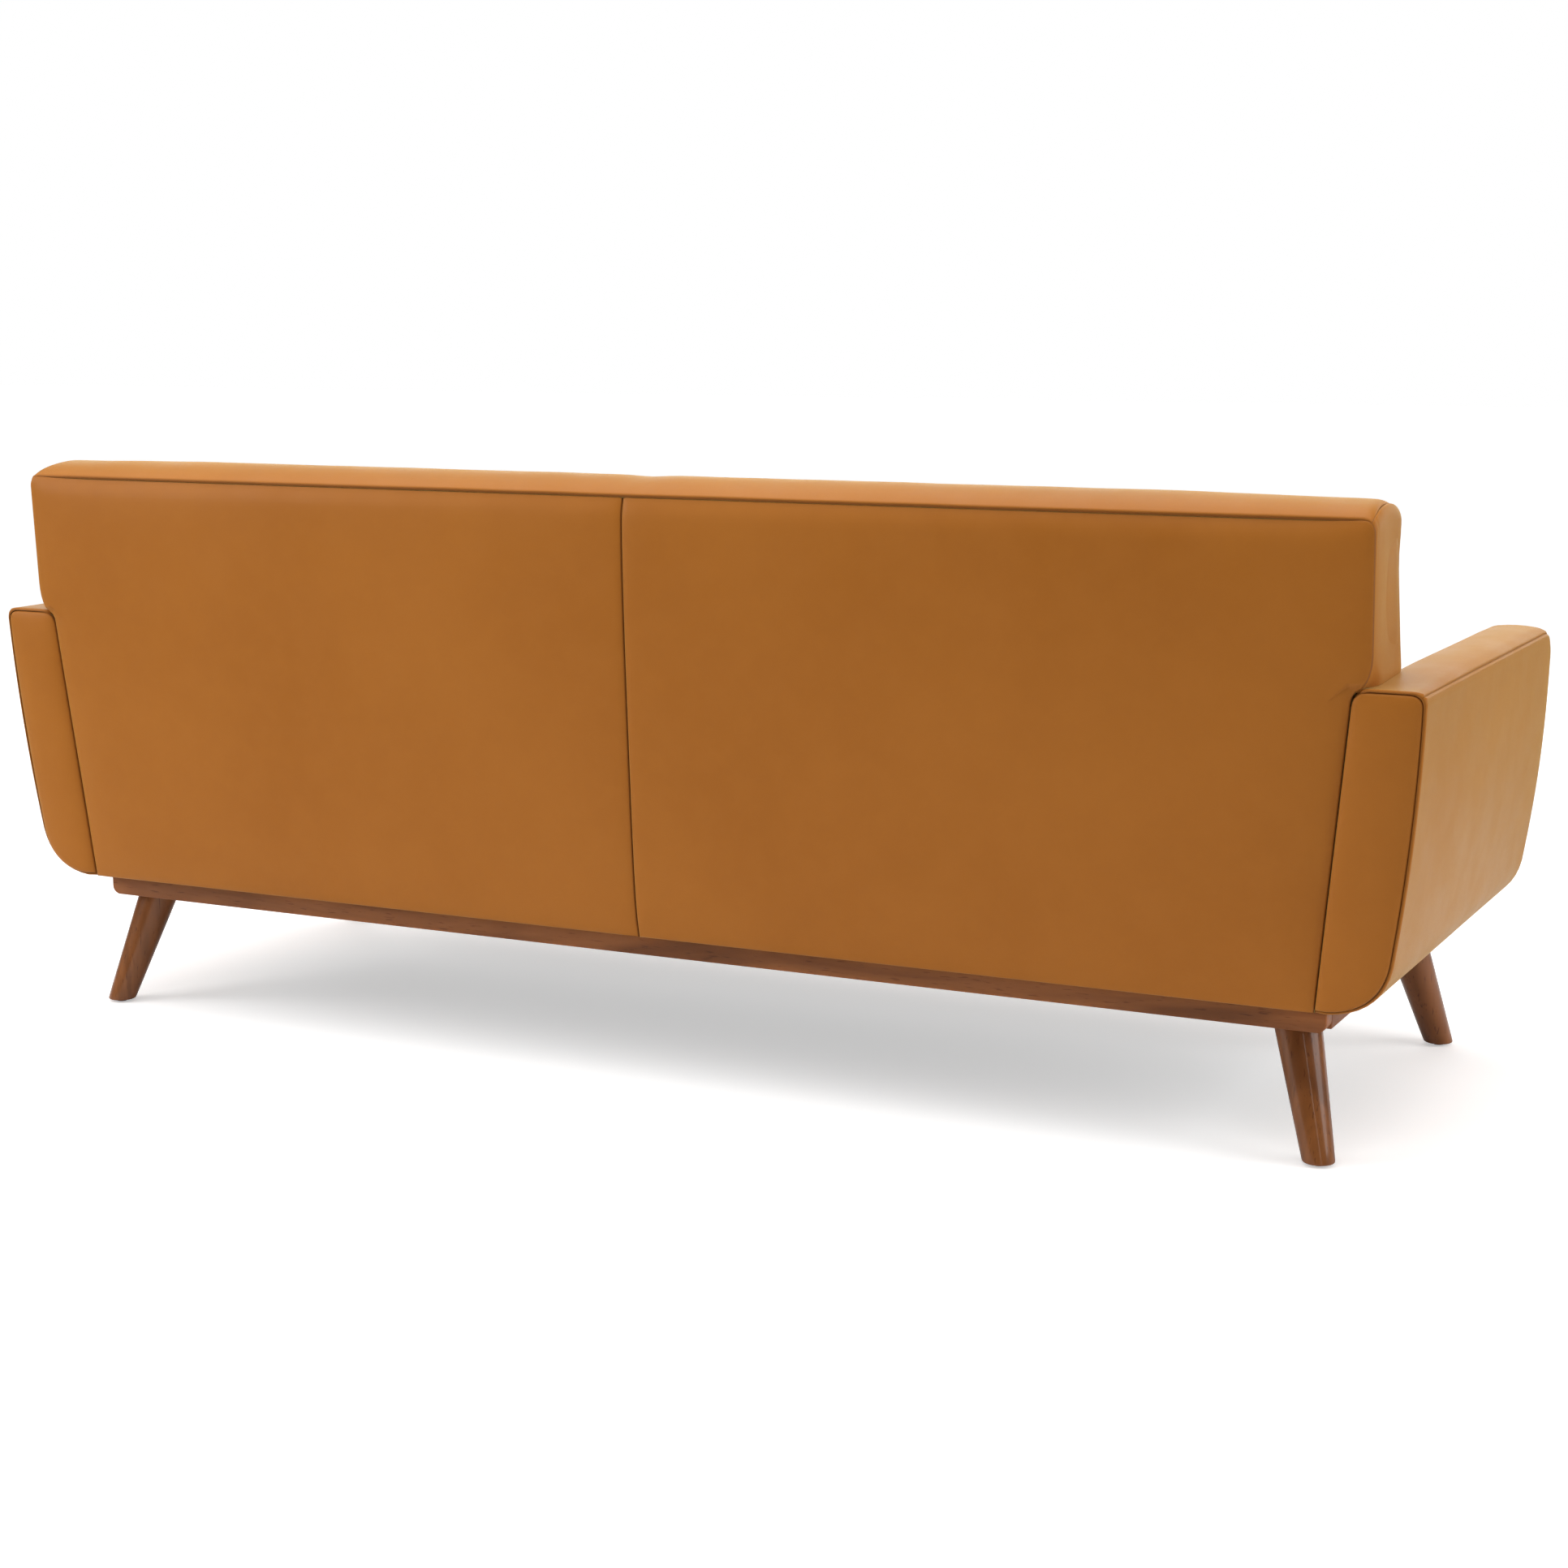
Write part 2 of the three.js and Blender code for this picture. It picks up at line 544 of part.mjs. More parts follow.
function addArms() {
  const section = alongDepth(armSection(0), FAR, -FAR);
  const facing = LEATHER + SEAM_GAP;
  const solid = common(section, alongWidth(armProfile(facing, facing), 0, FAR));
  const pocket = armBoard(SEAM_GAP, ARM_BOARD_DROP);
  const pad = cut(solid, pocket);
  const rearFacing = lean(alongDepth(armSection(0), SHELL_REAR, SHELL_REAR - LEATHER));
  const frontFacing = common(section, alongWidth(frontSlab(), 0, FAR));
  for (const [side, sign] of SIDES) {
    add(`arm_pad_${side}`, onSide(pad, sign), HIDE);
    add(`arm_board_${side}`, onSide(armBoard(0, 0), sign), BARE_WOOD);
    add(`arm_rear_facing_${side}`, onSide(rearFacing, sign), HIDE);
    add(`arm_front_facing_${side}`, onSide(frontFacing, sign), HIDE);
  }
}

function frontSlab() {
  const [low, high] = [BODY_BOTTOM - ARM_NOSE, ARM_HEIGHT - ARM_NOSE];
  const slab = new THREE.Shape();
  slab.moveTo(armFront(low), low);
  slab.lineTo(armFront(low) + LEATHER, low);
  slab.lineTo(armFront(high) + LEATHER, high);
  slab.lineTo(armFront(high), high);
  slab.closePath();
  return slab;
}

// ---- Back ----------------------------------------------------------------------------
// The back seen from the rear, in X and Z, grown inwards by "inset".
function backOutline(top, corner, inset) {
  const bottom = BODY_BOTTOM + inset;
  const neck = ARM_HEIGHT + EAR_LIFT + inset;
  const ear = ARM_HEIGHT + EAR_LIFT + EAR_RISE + inset;
  const seam = (z) => armInner(z) - SEAM_GAP - inset;
  const half = BACK_HALF - inset;
  const crown = top - inset;
  const outline = new THREE.Shape();
  outline.moveTo(-seam(bottom), bottom);
  outline.lineTo(seam(bottom), bottom);
  outline.lineTo(seam(neck), neck);
  outline.quadraticCurveTo(half, neck, half, ear);
  outline.lineTo(half, crown - corner);
  outline.quadraticCurveTo(half, crown, half - corner, crown);
  outline.lineTo(corner - half, crown);
  outline.quadraticCurveTo(-half, crown, -half, crown - corner);
  outline.lineTo(-half, ear);
  outline.quadraticCurveTo(-half, neck, -seam(neck), neck);
  outline.closePath();
  return outline;
}

// The back seen from the side before it is leaned, from its rear plane to its front.
function backProfile(inset, bottom = BODY_BOTTOM) {
  const rear = SHELL_REAR - inset;
  const seam = BACK_SEAM_HEIGHT - inset;
  const crown = HEIGHT - inset;
  const ridge = SHELL_REAR - CROWN_DEPTH;
  const front = (z) => SHELL_REAR - backDepth(z) + inset;
  const frontTop = crown - CROWN_FALL;
  const profile = new THREE.Shape();
  profile.moveTo(rear, bottom);
  profile.lineTo(rear, seam);
  profile.quadraticCurveTo((rear + ridge) / 2, crown, ridge, crown);
  profile.quadraticCurveTo((front(frontTop) + ridge) / 2, crown, front(frontTop), frontTop);
  profile.lineTo(front(bottom), bottom);
  profile.closePath();
  return profile;
}

function backSolid(inset, bottom) {
  const outline = alongDepth(backOutline(HEIGHT, BACK_CORNER + LEATHER, inset), FAR, -FAR);
  return common(outline, alongWidth(backProfile(inset, bottom), -FAR, FAR));
}

const halfSpace = (sign) => box(
  [Math.min(sign * SEAM_GAP, sign * FAR), Math.max(sign * SEAM_GAP, sign * FAR)],
  [-FAR, FAR], [-FAR, FAR]);

function addRearPanels() {
  const outline = backOutline(BACK_SEAM_HEIGHT, BACK_CORNER, 0);
  const panel = alongDepth(outline, SHELL_REAR, SHELL_REAR - LEATHER);
  for (const [side, sign] of SIDES) {
    add(`back_rear_panel_${side}`, lean(common(panel, halfSpace(sign))), HIDE);
  }
}

// The band over the top and ends of the back, cut at mitred corners.
function addBands() {
  const shell = cut(backSolid(0), backSolid(LEATHER));
  const rear = SHELL_REAR - LEATHER - SEAM_GAP;
  const frontEdge = new THREE.Shape();
  const frontLine = (z) => SHELL_REAR - backDepth(z) + LEATHER + SEAM_GAP;
  const low = ARM_HEIGHT + EAR_LIFT / 2;
  frontEdge.moveTo(rear, low);
  frontEdge.lineTo(rear, FAR);
  frontEdge.lineTo(frontLine(HEIGHT), FAR);
  frontEdge.lineTo(frontLine(HEIGHT), HEIGHT);
  frontEdge.lineTo(frontLine(low), low);
  frontEdge.closePath();
  const strip = common(shell, alongWidth(frontEdge, -FAR, FAR));
  const drop = BACK_CORNER + LEATHER;
  const mitre = (gap) => {
    const region = new THREE.Shape();
    const reach = BACK_HALF + drop;
    region.moveTo(-reach, HEIGHT + drop + gap);
    region.lineTo(-reach + 3 * drop, HEIGHT - 2 * drop + gap);
    region.lineTo(reach - 3 * drop, HEIGHT - 2 * drop + gap);
    region.lineTo(reach, HEIGHT + drop + gap);
    region.closePath();
    return alongDepth(region, FAR, -FAR);
  };
  add('back_top_band', lean(common(strip, mitre(SEAM_GAP))), HIDE);
  const ends = cut(strip, mitre(-SEAM_GAP));
  for (const [side, sign] of SIDES) {
    const endSpace = box([BACK_HALF / 2, FAR], [-FAR, FAR], [-FAR, FAR]);
    add(`back_side_band_${side}`, lean(common(ends, onSide(endSpace, sign))), HIDE);
  }
}

function addBackFrame() {
  const topRail = [BACK_SEAM_HEIGHT - TOP_RAIL_DROP - TOP_RAIL_HEIGHT,
    BACK_SEAM_HEIGHT - TOP_RAIL_DROP];
  const depth = [SHELL_REAR - POST_FRONT, SHELL_REAR - POST_REAR];
  const half = FRAME_HALF - POST_WIDTH / 2;
  const postHeight = [BODY_BOTTOM, topRail[0] - SEAM_GAP];
  const upright = (x) => lean(box([x - POST_WIDTH / 2, x + POST_WIDTH / 2], depth, postHeight));
  add('back_post_centre', upright(0), BARE_WOOD);
  for (const [side, sign] of SIDES) {
    add(`back_post_${side}`, upright(sign * half), BARE_WOOD);
  }
  const railHalf = BACK_HALF - LEATHER - BACK_CORNER;
  add('back_rail_top', lean(box([-railHalf, railHalf], depth, topRail)), BARE_WOOD);
}

function addBackWebbing() {
  const front = SHELL_REAR - POST_FRONT - SEAM_GAP;
  const depth = [front - STRAP, front];
  const [low, high] = [RAIL_TOP + STRAP_WIDTH, BACK_SEAM_HEIGHT - TOP_RAIL_DROP - TOP_RAIL_HEIGHT / 2];
  const straps = [];
  const pitch = FRAME_HALF / (STRAPS_PER_SIDE + 0.5);
  for (let i = 0; i < STRAPS_PER_SIDE; i += 1) {
    for (const sign of [1, -1]) {
      const x = sign * pitch * (i + 0.75);
      straps.push(box([x - STRAP_WIDTH / 2, x + STRAP_WIDTH / 2], depth, [low, high]));
    }
  }
  for (let i = 0; i < STRAP_ROWS; i += 1) {
    const z = THREE.MathUtils.lerp(low, high, (i + 0.5) / STRAP_ROWS);
    straps.push(box([-FRAME_HALF, FRAME_HALF], depth, [z - STRAP_WIDTH / 2, z + STRAP_WIDTH / 2]));
  }
  add('back_webbing', lean(join(...straps)), WEBBING);
}

// Where the buttons sit, as distances from the middle of the sofa.
const buttonPlaces = Array.from({ length: BUTTONS_PER_SIDE },
  (_, i) => BACK_HALF * (i + 0.75) / (BUTTONS_PER_SIDE + 0.5));
const frontTilt = Math.atan2(
  backFront(HEIGHT) - backFront(CUSHION_BOTTOM), HEIGHT - CUSHION_BOTTOM);

// Turns a piece that is modelled about +Z so that it faces out of the back's front.
function ontoBackFront(geometry, x, sink) {
  const facing = geometry.rotateX(Math.PI / 2 - frontTilt);
  const y = backFront(BUTTON_HEIGHT) + sink * Math.cos(frontTilt);
  const z = BUTTON_HEIGHT - sink * Math.sin(frontTilt);
  return facing.translate(x, y, z);
}

function tuftHollow(x) {
  const profile = [
    new THREE.Vector2(0, -SEAM_GAP),
    new THREE.Vector2(BUTTON_RADIUS + SEAM_GAP, -SEAM_GAP),
    new THREE.Vector2(BUTTON_RADIUS + 2 * SEAM_GAP, BUTTON_THICKNESS),
    new THREE.Vector2(TUFT_RADIUS, BUTTON_SINK + TUFT_MOUTH),
    new THREE.Vector2(0, BUTTON_SINK + TUFT_MOUTH),
  ];
  const cone = new THREE.LatheGeometry(profile, 16).rotateX(Math.PI / 2);
  return ontoBackFront(cone, x, BUTTON_SINK);
}

function button(x) {
  const profile = [
    new THREE.Vector2(0, 0),
    new THREE.Vector2(BUTTON_RADIUS - 1, 0),
    new THREE.Vector2(BUTTON_RADIUS, BUTTON_THICKNESS / 3),
    new THREE.Vector2(BUTTON_RADIUS * 0.7, BUTTON_THICKNESS * 0.85),
    new THREE.Vector2(0, BUTTON_THICKNESS),
  ];
  const dome = new THREE.LatheGeometry(profile, 16).rotateX(Math.PI / 2);
  return ontoBackFront(dome, x, BUTTON_SINK);
}

function addBackCushions() {
  const inset = LEATHER + SEAM_GAP;
  const behind = POST_FRONT + STRAP + 2 * SEAM_GAP;
  const bottom = DECK_TOP + SEAM_GAP;
  const room = box([-FAR, FAR], [-FAR, SHELL_REAR - behind], [bottom, FAR]);
  const front = common(backSolid(inset, BODY_BOTTOM), room);
  for (const [side, sign] of SIDES) {
    const upright = lean(common(front, halfSpace(sign)));
    const tufts = buttonPlaces.map((x) => tuftHollow(sign * x));
    add(`back_cushion_${side}`, cut(upright, ...tufts), HIDE);
    buttonPlaces.forEach((x, i) => add(`back_button_${side}_${i + 1}`, button(sign * x), HIDE));
  }
}

addPlinth();
addSeatFrame();
addDustCover();
addSprings();
addDeck();
addFrontBorder();
addSeatCushions();
addArms();
addRearPanels();
addBands();
addBackFrame();
addBackWebbing();
addBackCushions();

export default sofa;
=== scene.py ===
"""A three-seat sofa with a tan leather shell over a stained wooden plinth and four splayed legs.

Metres, +Z up, front towards -Y. Left and right are the sitter's, so left is +X. The wooden frame,
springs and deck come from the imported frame; covers, cushions, plinth and legs are made here.
"""
import sys
import logging
import math
from collections import Counter
from collections.abc import Callable, Iterable, Sequence
from dataclasses import dataclass
from enum import Enum, IntEnum

import bmesh
import bpy
import numpy as np
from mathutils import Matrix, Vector, noise
from mathutils.bvhtree import BVHTree


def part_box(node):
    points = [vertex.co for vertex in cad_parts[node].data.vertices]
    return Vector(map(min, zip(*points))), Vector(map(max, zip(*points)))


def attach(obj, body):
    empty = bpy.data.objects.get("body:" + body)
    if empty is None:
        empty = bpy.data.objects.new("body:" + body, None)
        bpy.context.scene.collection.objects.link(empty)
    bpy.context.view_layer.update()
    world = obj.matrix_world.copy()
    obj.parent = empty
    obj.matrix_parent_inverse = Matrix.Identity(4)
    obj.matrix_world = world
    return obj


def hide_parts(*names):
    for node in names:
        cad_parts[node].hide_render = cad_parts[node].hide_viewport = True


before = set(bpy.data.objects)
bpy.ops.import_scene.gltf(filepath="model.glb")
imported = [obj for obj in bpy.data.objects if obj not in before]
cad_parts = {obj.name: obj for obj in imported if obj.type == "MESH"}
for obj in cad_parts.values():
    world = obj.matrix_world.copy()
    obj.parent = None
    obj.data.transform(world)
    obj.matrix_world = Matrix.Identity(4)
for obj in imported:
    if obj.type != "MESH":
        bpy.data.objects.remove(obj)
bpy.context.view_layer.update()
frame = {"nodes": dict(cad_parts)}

LOG = logging.getLogger("sofa")

Point = tuple[float, float]
Colour = tuple[float, float, float]
Socket = bpy.types.NodeSocket

# Half the gap between two covers that are sewn together, and the thickness of a cover.
SEAM_GAP = 0.0004
LEATHER = 0.004
# The points' value that holds the painted shade in and beside a seam, how far that painted shade
# reaches, and the rings beside a seam.
PAINTED_SHADE_LAYER = "seam"
PAINTED_SHADE_REACH = 0.0018
NEAR_SEAM = (0.0, 0.0003, 0.0010, 0.0019, 0.0030, 0.0042, 0.0060, 0.0085, 0.012, 0.017, 0.024)
# Points closer than this are one point, and points this near a level lie on it.
TOUCHING = 1e-6
LEVEL = 1e-4
QUARTER_TURN = math.pi / 2.0
X_AXIS, Y_AXIS, Z_AXIS = Vector((1, 0, 0)), Vector((0, 1, 0)), Vector((0, 0, 1))
# The rings beside a seam end before this share of the run's length.
CLOSE_SHARE = 0.45


class Side(Enum):
    """The sitter's two sides, as signs of X."""

    LEFT = 1
    RIGHT = -1

    @property
    def word(self) -> str:
        """The side's name as it is used in node names."""
        return self.name.lower()


def smoothstep(low: float, high: float, value: float) -> float:
    """A smooth rise from 0 to 1."""
    share = min(1.0, max(0.0, (value - low) / (high - low)))
    return share * share * (3.0 - 2.0 * share)


def mix(first: float, second: float, share: float) -> float:
    """The value a share of the way from first to second."""
    return first + (second - first) * share


def ripple(place: Vector, length: float, seed: float = 0.0) -> float:
    """Gentle noise from -1 to 1 whose bumps are about length across."""
    return noise.noise(place / length + Vector((seed, seed * 1.7, seed * 2.3)))


# ---- Flat outlines -----------------------------------------------------------------------
class Outline:
    """A flat path of straight runs and quadratic curves, which is sampled run by run."""

    CURVE_STEPS = 12

    def __init__(self, x: float, z: float) -> None:
        """Starts the path at a point."""
        self.end = (x, z)
        self.runs: list[tuple[Point, Point | None, Point]] = []

    def line_to(self, x: float, z: float) -> None:
        """Adds a straight run."""
        self.runs.append((self.end, None, (x, z)))
        self.end = (x, z)

    def curve_to(self, control: Point, x: float, z: float) -> None:
        """Adds a quadratic curve that heads for its control point."""
        self.runs.append((self.end, control, (x, z)))
        self.end = (x, z)

    def curved(self, run: int) -> bool:
        """Whether a run is a curve."""
        return self.runs[run][1] is not None

    def at(self, run: int, share: float) -> Point:
        """The point on a run.

        Args:
            run: The run's index.
            share: How far along it the point is, from 0 to 1.

        Returns:
            The point.
        """
        first, control, last = self.runs[run]
        if control is None:
            return mix(first[0], last[0], share), mix(first[1], last[1], share)
        rest = 1.0 - share
        weights = (rest * rest, 2.0 * rest * share, share * share)
        return tuple(sum(w * p[i] for w, p in zip(weights, (first, control, last))) for i in (0, 1))

    def length(self, run: int) -> float:
        """The length of a run, measured in a few straight steps where it curves.

        Args:
            run: The run's index.

        Returns:
            Its length.
        """
        count = self.CURVE_STEPS if self.curved(run) else 1
        points = [self.at(run, i / count) for i in range(count + 1)]
        return sum(math.dist(a, b) for a, b in zip(points, points[1:]))

    def points(self) -> list[Point]:
        """The corners and curve points of the closed outline, without the repeated last one."""
        counts = [self.CURVE_STEPS if self.curved(run) else 1 for run in range(len(self.runs))]
        return [self.at(run, i / count) for run, count in enumerate(counts) for i in range(count)]


def spread(length: float, pitch: float, start: bool = False, end: bool = False) -> list[float]:
    """Shares along a run, closer together beside a sewn end.

    Args:
        length: The run's length.
        pitch: The even spacing away from the ends.
        start: Whether the first end is sewn.
        end: Whether the last end is sewn.

    Returns:
        Rising shares from 0 to 1.
    """
    close = [step for step in NEAR_SEAM if step < CLOSE_SHARE * length]
    low = close if start else [0.0]
    high = [length - step for step in reversed(close)] if end else [length]
    gap = high[0] - low[-1]
    count = max(1, round(gap / pitch))
    between = [low[-1] + gap * i / count for i in range(1, count)]
    return [place / length for place in low + between + high]


def rolled(distance: float, radius: float) -> float:
    """How deep a rolled edge lies below the surface.

    Args:
        distance: How far the place is from the seam.
        radius: The roll's radius.

    Returns:
        The depth, which is the radius at the seam and 0 past the roll.
    """
    if distance >= radius:
        return 0.0
    rest = radius - max(0.0, distance)
    return radius - math.sqrt(max(0.0, radius * radius - rest * rest))


def painted_seam_shade(distance: float) -> float:
    """The painted shade's strength: 1 in a seam, falling to 0 a few millimetres away."""
    return 1.0 - smoothstep(0.0, PAINTED_SHADE_REACH, distance)


# ---- Mesh helpers ------------------------------------------------------------------------
class Loft:
    """A grid of columns and rows that is laid onto a surface and then padded along its normals."""

    def __init__(self, columns: Sequence, rows: Sequence, place: Callable[..., Vector]) -> None:
        """Makes the grid on its surface.

        Args:
            columns: What tells each column apart.
            rows: What tells each row apart.
            place: Gives the place for (column, row).
        """
        self.mesh = bmesh.new()
        across, along = len(columns) - 1, len(rows) - 1
        self.shade = self.mesh.verts.layers.float.new(PAINTED_SHADE_LAYER)
        bmesh.ops.create_grid(self.mesh, x_segments=across, y_segments=along, size=1.0)
        self.spots = []
        for vert in self.mesh.verts:
            column = columns[round((vert.co.x + 1.0) / 2.0 * across)]
            row = rows[round((vert.co.y + 1.0) / 2.0 * along)]
            self.spots.append((vert, column, row))
        for vert, column, row in self.spots:
            vert.co = place(column, row)

    def face_away_from(self, inside: Vector) -> None:
        """Turns the faces so that most of them face away from a point.

        Args:
            inside: The point.
        """
        self.mesh.normal_update()
        facing = sum(f.normal.dot(f.calc_center_median() - inside) * f.calc_area()
                     for f in self.mesh.faces)
        if facing < 0.0:
            bmesh.ops.reverse_faces(self.mesh, faces=self.mesh.faces[:])

    def pad(self, height: Callable[..., float], seam: Callable[..., float] | None = None) -> None:
        """Moves each vertex along its normal and paints shade by how near it is to a seam.

        Args:
            height: Gives the travel for (place, column, row).
            seam: Gives the distance to the nearest seam for (column, row), which sets the painted
                shade.
        """
        self.mesh.normal_update()
        moves = [(v, v.normal * height(v.co.copy(), c, r)) for v, c, r in self.spots]
        for vert, move in moves:
            vert.co += move
        if seam is not None:
            for vert, column, row in self.spots:
                vert[self.shade] = painted_seam_shade(seam(column, row))

    def thicken(self, thickness: float) -> bmesh.types.BMesh:
        """Closes the sheet with an inner wall."""
        bmesh.ops.solidify(self.mesh, geom=self.mesh.faces[:], thickness=thickness)
        return self.mesh

    def weld_and_cap(self) -> bmesh.types.BMesh:
        """Joins the first and last columns, and closes the open ends with flat faces.

        Returns:
            The closed mesh.
        """
        bmesh.ops.remove_doubles(self.mesh, verts=self.mesh.verts[:], dist=TOUCHING)
        edges = [e for e in self.mesh.edges if e.is_boundary]
        bmesh.ops.holes_fill(self.mesh, edges=edges, sides=len(edges))
        return self.mesh


def distances(places: np.ndarray, outline: Sequence[Point]) -> np.ndarray:
    """Distances from flat places to a closed outline.

    Args:
        places: One X and Z pair per row.
        outline: The outline's corners.

    Returns:
        One distance per place.
    """
    first = np.array(outline)
    step = np.roll(first, -1, axis=0) - first
    away = places[:, None, :] - first[None]
    share = np.clip((away * step).sum(2) / np.maximum((step * step).sum(1), 1e-12), 0.0, 1.0)
    return np.sqrt(((away - share[..., None] * step) ** 2).sum(2)).min(1)


def cut_across(mesh: bmesh.types.BMesh, axis: Vector, cuts: Iterable[float]) -> None:
    """Cuts a mesh with planes across an axis.

    Args:
        mesh: The mesh, which is changed.
        axis: The planes' normal.
        cuts: Where along the axis the planes lie.
    """
    for cut in cuts:
        parts = mesh.verts[:] + mesh.edges[:] + mesh.faces[:]
        bmesh.ops.bisect_plane(mesh, geom=parts, plane_co=axis * cut, plane_no=axis)


@dataclass(frozen=True)
class FlatPanel:
    """A flat leather panel with rolled edges, made in X and Z and facing +Y."""

    outline: Sequence[Point]
    roll: float = 0.003
    crown: float = 0.0035
    crown_reach: float = 0.009
    thickness: float = 0.007
    pitch: float = 0.03
    ring_reach: float = 0.012
    extra_rows: Sequence[float] = ()

    def build(self, relief: Callable[[float, float], float] | None = None) -> bmesh.types.BMesh:
        """Makes the panel, closed at its back.

        Args:
            relief: An extra rise of the surface for (x, z).

        Returns:
            The panel with its front at about y = 0.
        """
        mesh = bmesh.new()
        face = mesh.faces.new([mesh.verts.new((x, 0.0, z)) for x, z in self.outline])
        previous = 0.0
        for place in (step for step in NEAR_SEAM[1:] if step <= self.ring_reach):
            bmesh.ops.inset_region(mesh, faces=[face], thickness=place - previous,
                                   use_boundary=True, use_even_offset=True)
            previous = place
        self._slice(mesh)
        # Painted shade along the panel's outline, where it meets the next cover.
        shade = mesh.verts.layers.float.new(PAINTED_SHADE_LAYER)
        verts = mesh.verts[:]
        flat = np.array([(v.co.x, v.co.z) for v in verts])
        for vert, distance in zip(verts, distances(flat, self.outline)):
            rise = self.crown * (1.0 - math.exp(-distance / self.crown_reach))
            extra = relief(vert.co.x, vert.co.z) if relief else 0.0
            vert.co.y = rise + extra - self.crown - rolled(distance, self.roll)
            vert[shade] = painted_seam_shade(distance)
        self._close(mesh)
        return mesh

    def _slice(self, mesh: bmesh.types.BMesh) -> None:
        """Cuts the middle of the panel into a lattice.

        Args:
            mesh: The mesh, which is changed.
        """
        for axis, places in ((X_AXIS, [x for x, _ in self.outline]),
                             (Z_AXIS, [z for _, z in self.outline])):
            low, high = min(places), max(places)
            count = max(2, round((high - low) / self.pitch))
            cut_across(mesh, axis, [mix(low, high, i / count) for i in range(1, count)])
            if axis is Z_AXIS:
                cut_across(mesh, axis, [high - drop for drop in self.extra_rows])

    def _close(self, mesh: bmesh.types.BMesh) -> None:
        """Adds the turned-in edge and the back.

        Args:
            mesh: The mesh, which is changed.
        """
        rim = [e for e in mesh.edges if e.is_boundary]
        grown = bmesh.ops.extrude_edge_only(mesh, edges=rim)["geom"]
        low = [part for part in grown if isinstance(part, bmesh.types.BMVert)]
        for vert in low:
            vert.co.y = -self.thickness - self.crown
        edges = [part for part in grown if isinstance(part, bmesh.types.BMEdge)]
        bmesh.ops.holes_fill(mesh, edges=edges, sides=len(edges))
        bmesh.ops.recalc_face_normals(mesh, faces=mesh.faces[:])


def shift(mesh: bmesh.types.BMesh, move: Callable[[Vector], Vector]) -> bmesh.types.BMesh:
    """Moves each vertex to where move says.

    Args:
        mesh: The mesh, which is changed.
        move: Gives the new place for a place.

    Returns:
        The same mesh.
    """
    for vert in mesh.verts:
        vert.co = move(vert.co)
    return mesh


def mirror(mesh: bmesh.types.BMesh, signs: Colour) -> bmesh.types.BMesh:
    """Mirrors a mesh by one negative sign, and turns its faces outwards again.

    Args:
        mesh: The mesh, which is changed.
        signs: The signs of X, Y and Z.

    Returns:
        The same mesh.
    """
    bmesh.ops.scale(mesh, vec=signs, verts=mesh.verts[:])
    bmesh.ops.reverse_faces(mesh, faces=mesh.faces[:])
    return mesh


def on_side(mesh: bmesh.types.BMesh, side: Side) -> bmesh.types.BMesh:
    """Mirrors a left piece when the right one is wanted."""
    return mirror(mesh, (-1.0, 1.0, 1.0)) if side is Side.RIGHT else mesh


def lattice(spans: Sequence[tuple[float, float]], counts: Sequence[int]) -> bmesh.types.BMesh:
    """A box whose sides are cut into a lattice.

    Args:
        spans: The lowest and highest place along X, Y and Z.
        counts: How many cells there are along X, Y and Z.

    Returns:
        The box.
    """
    mesh = bmesh.new()
    bmesh.ops.create_cube(mesh, size=1.0)
    for vert in mesh.verts:
        vert.co = Vector(mix(low, high, c + 0.5) for c, (low, high) in zip(vert.co, spans))
    for axis, (low, high), count in zip((X_AXIS, Y_AXIS, Z_AXIS), spans, counts):
        cut_across(mesh, axis, [mix(low, high, step / count) for step in range(1, count)])
    return mesh


def bevel(mesh: bmesh.types.BMesh, edges: Sequence, size: float, segments: int) -> None:
    """Rounds some edges of a mesh."""
    bmesh.ops.bevel(mesh, geom=edges, offset=size, affect="EDGES", segments=segments,
                    profile=0.5, material=-1)


def in_scene(name: str, data: bpy.types.ID | None) -> bpy.types.Object:
    """Makes an object and puts it in the scene.

    Args:
        name: The object's name.
        data: What it shows.

    Returns:
        The object.
    """
    made = bpy.data.objects.new(name, data)
    bpy.context.scene.collection.objects.link(made)
    return made


def add_piece(name: str, mesh: bmesh.types.BMesh, finish: "Finish", body: str = "sofa",
              nodes: Iterable[str] = (), sharp: float | None = None) -> bpy.types.Object:
    """Turns a mesh into a finished piece of the sofa.

    Args:
        name: The piece's name.
        mesh: Its shape, which is used up.
        finish: What it is made of.
        body: The body that it moves with.
        nodes: The frame's nodes that it stands for.
        sharp: The angle in radians over which edges stay sharp, or None for all smooth.

    Returns:
        The new object.
    """
    data = bpy.data.meshes.new(name)
    mesh.to_mesh(data)
    mesh.free()
    data.shade_smooth()
    if sharp is not None:
        data.set_sharp_from_angle(angle=sharp)
    piece = in_scene(name, data)
    data.materials.append(finish.material)
    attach(piece, body)
    if nodes:
        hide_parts(*nodes)
    LOG.info("%s: %d faces", name, len(data.polygons))
    return piece


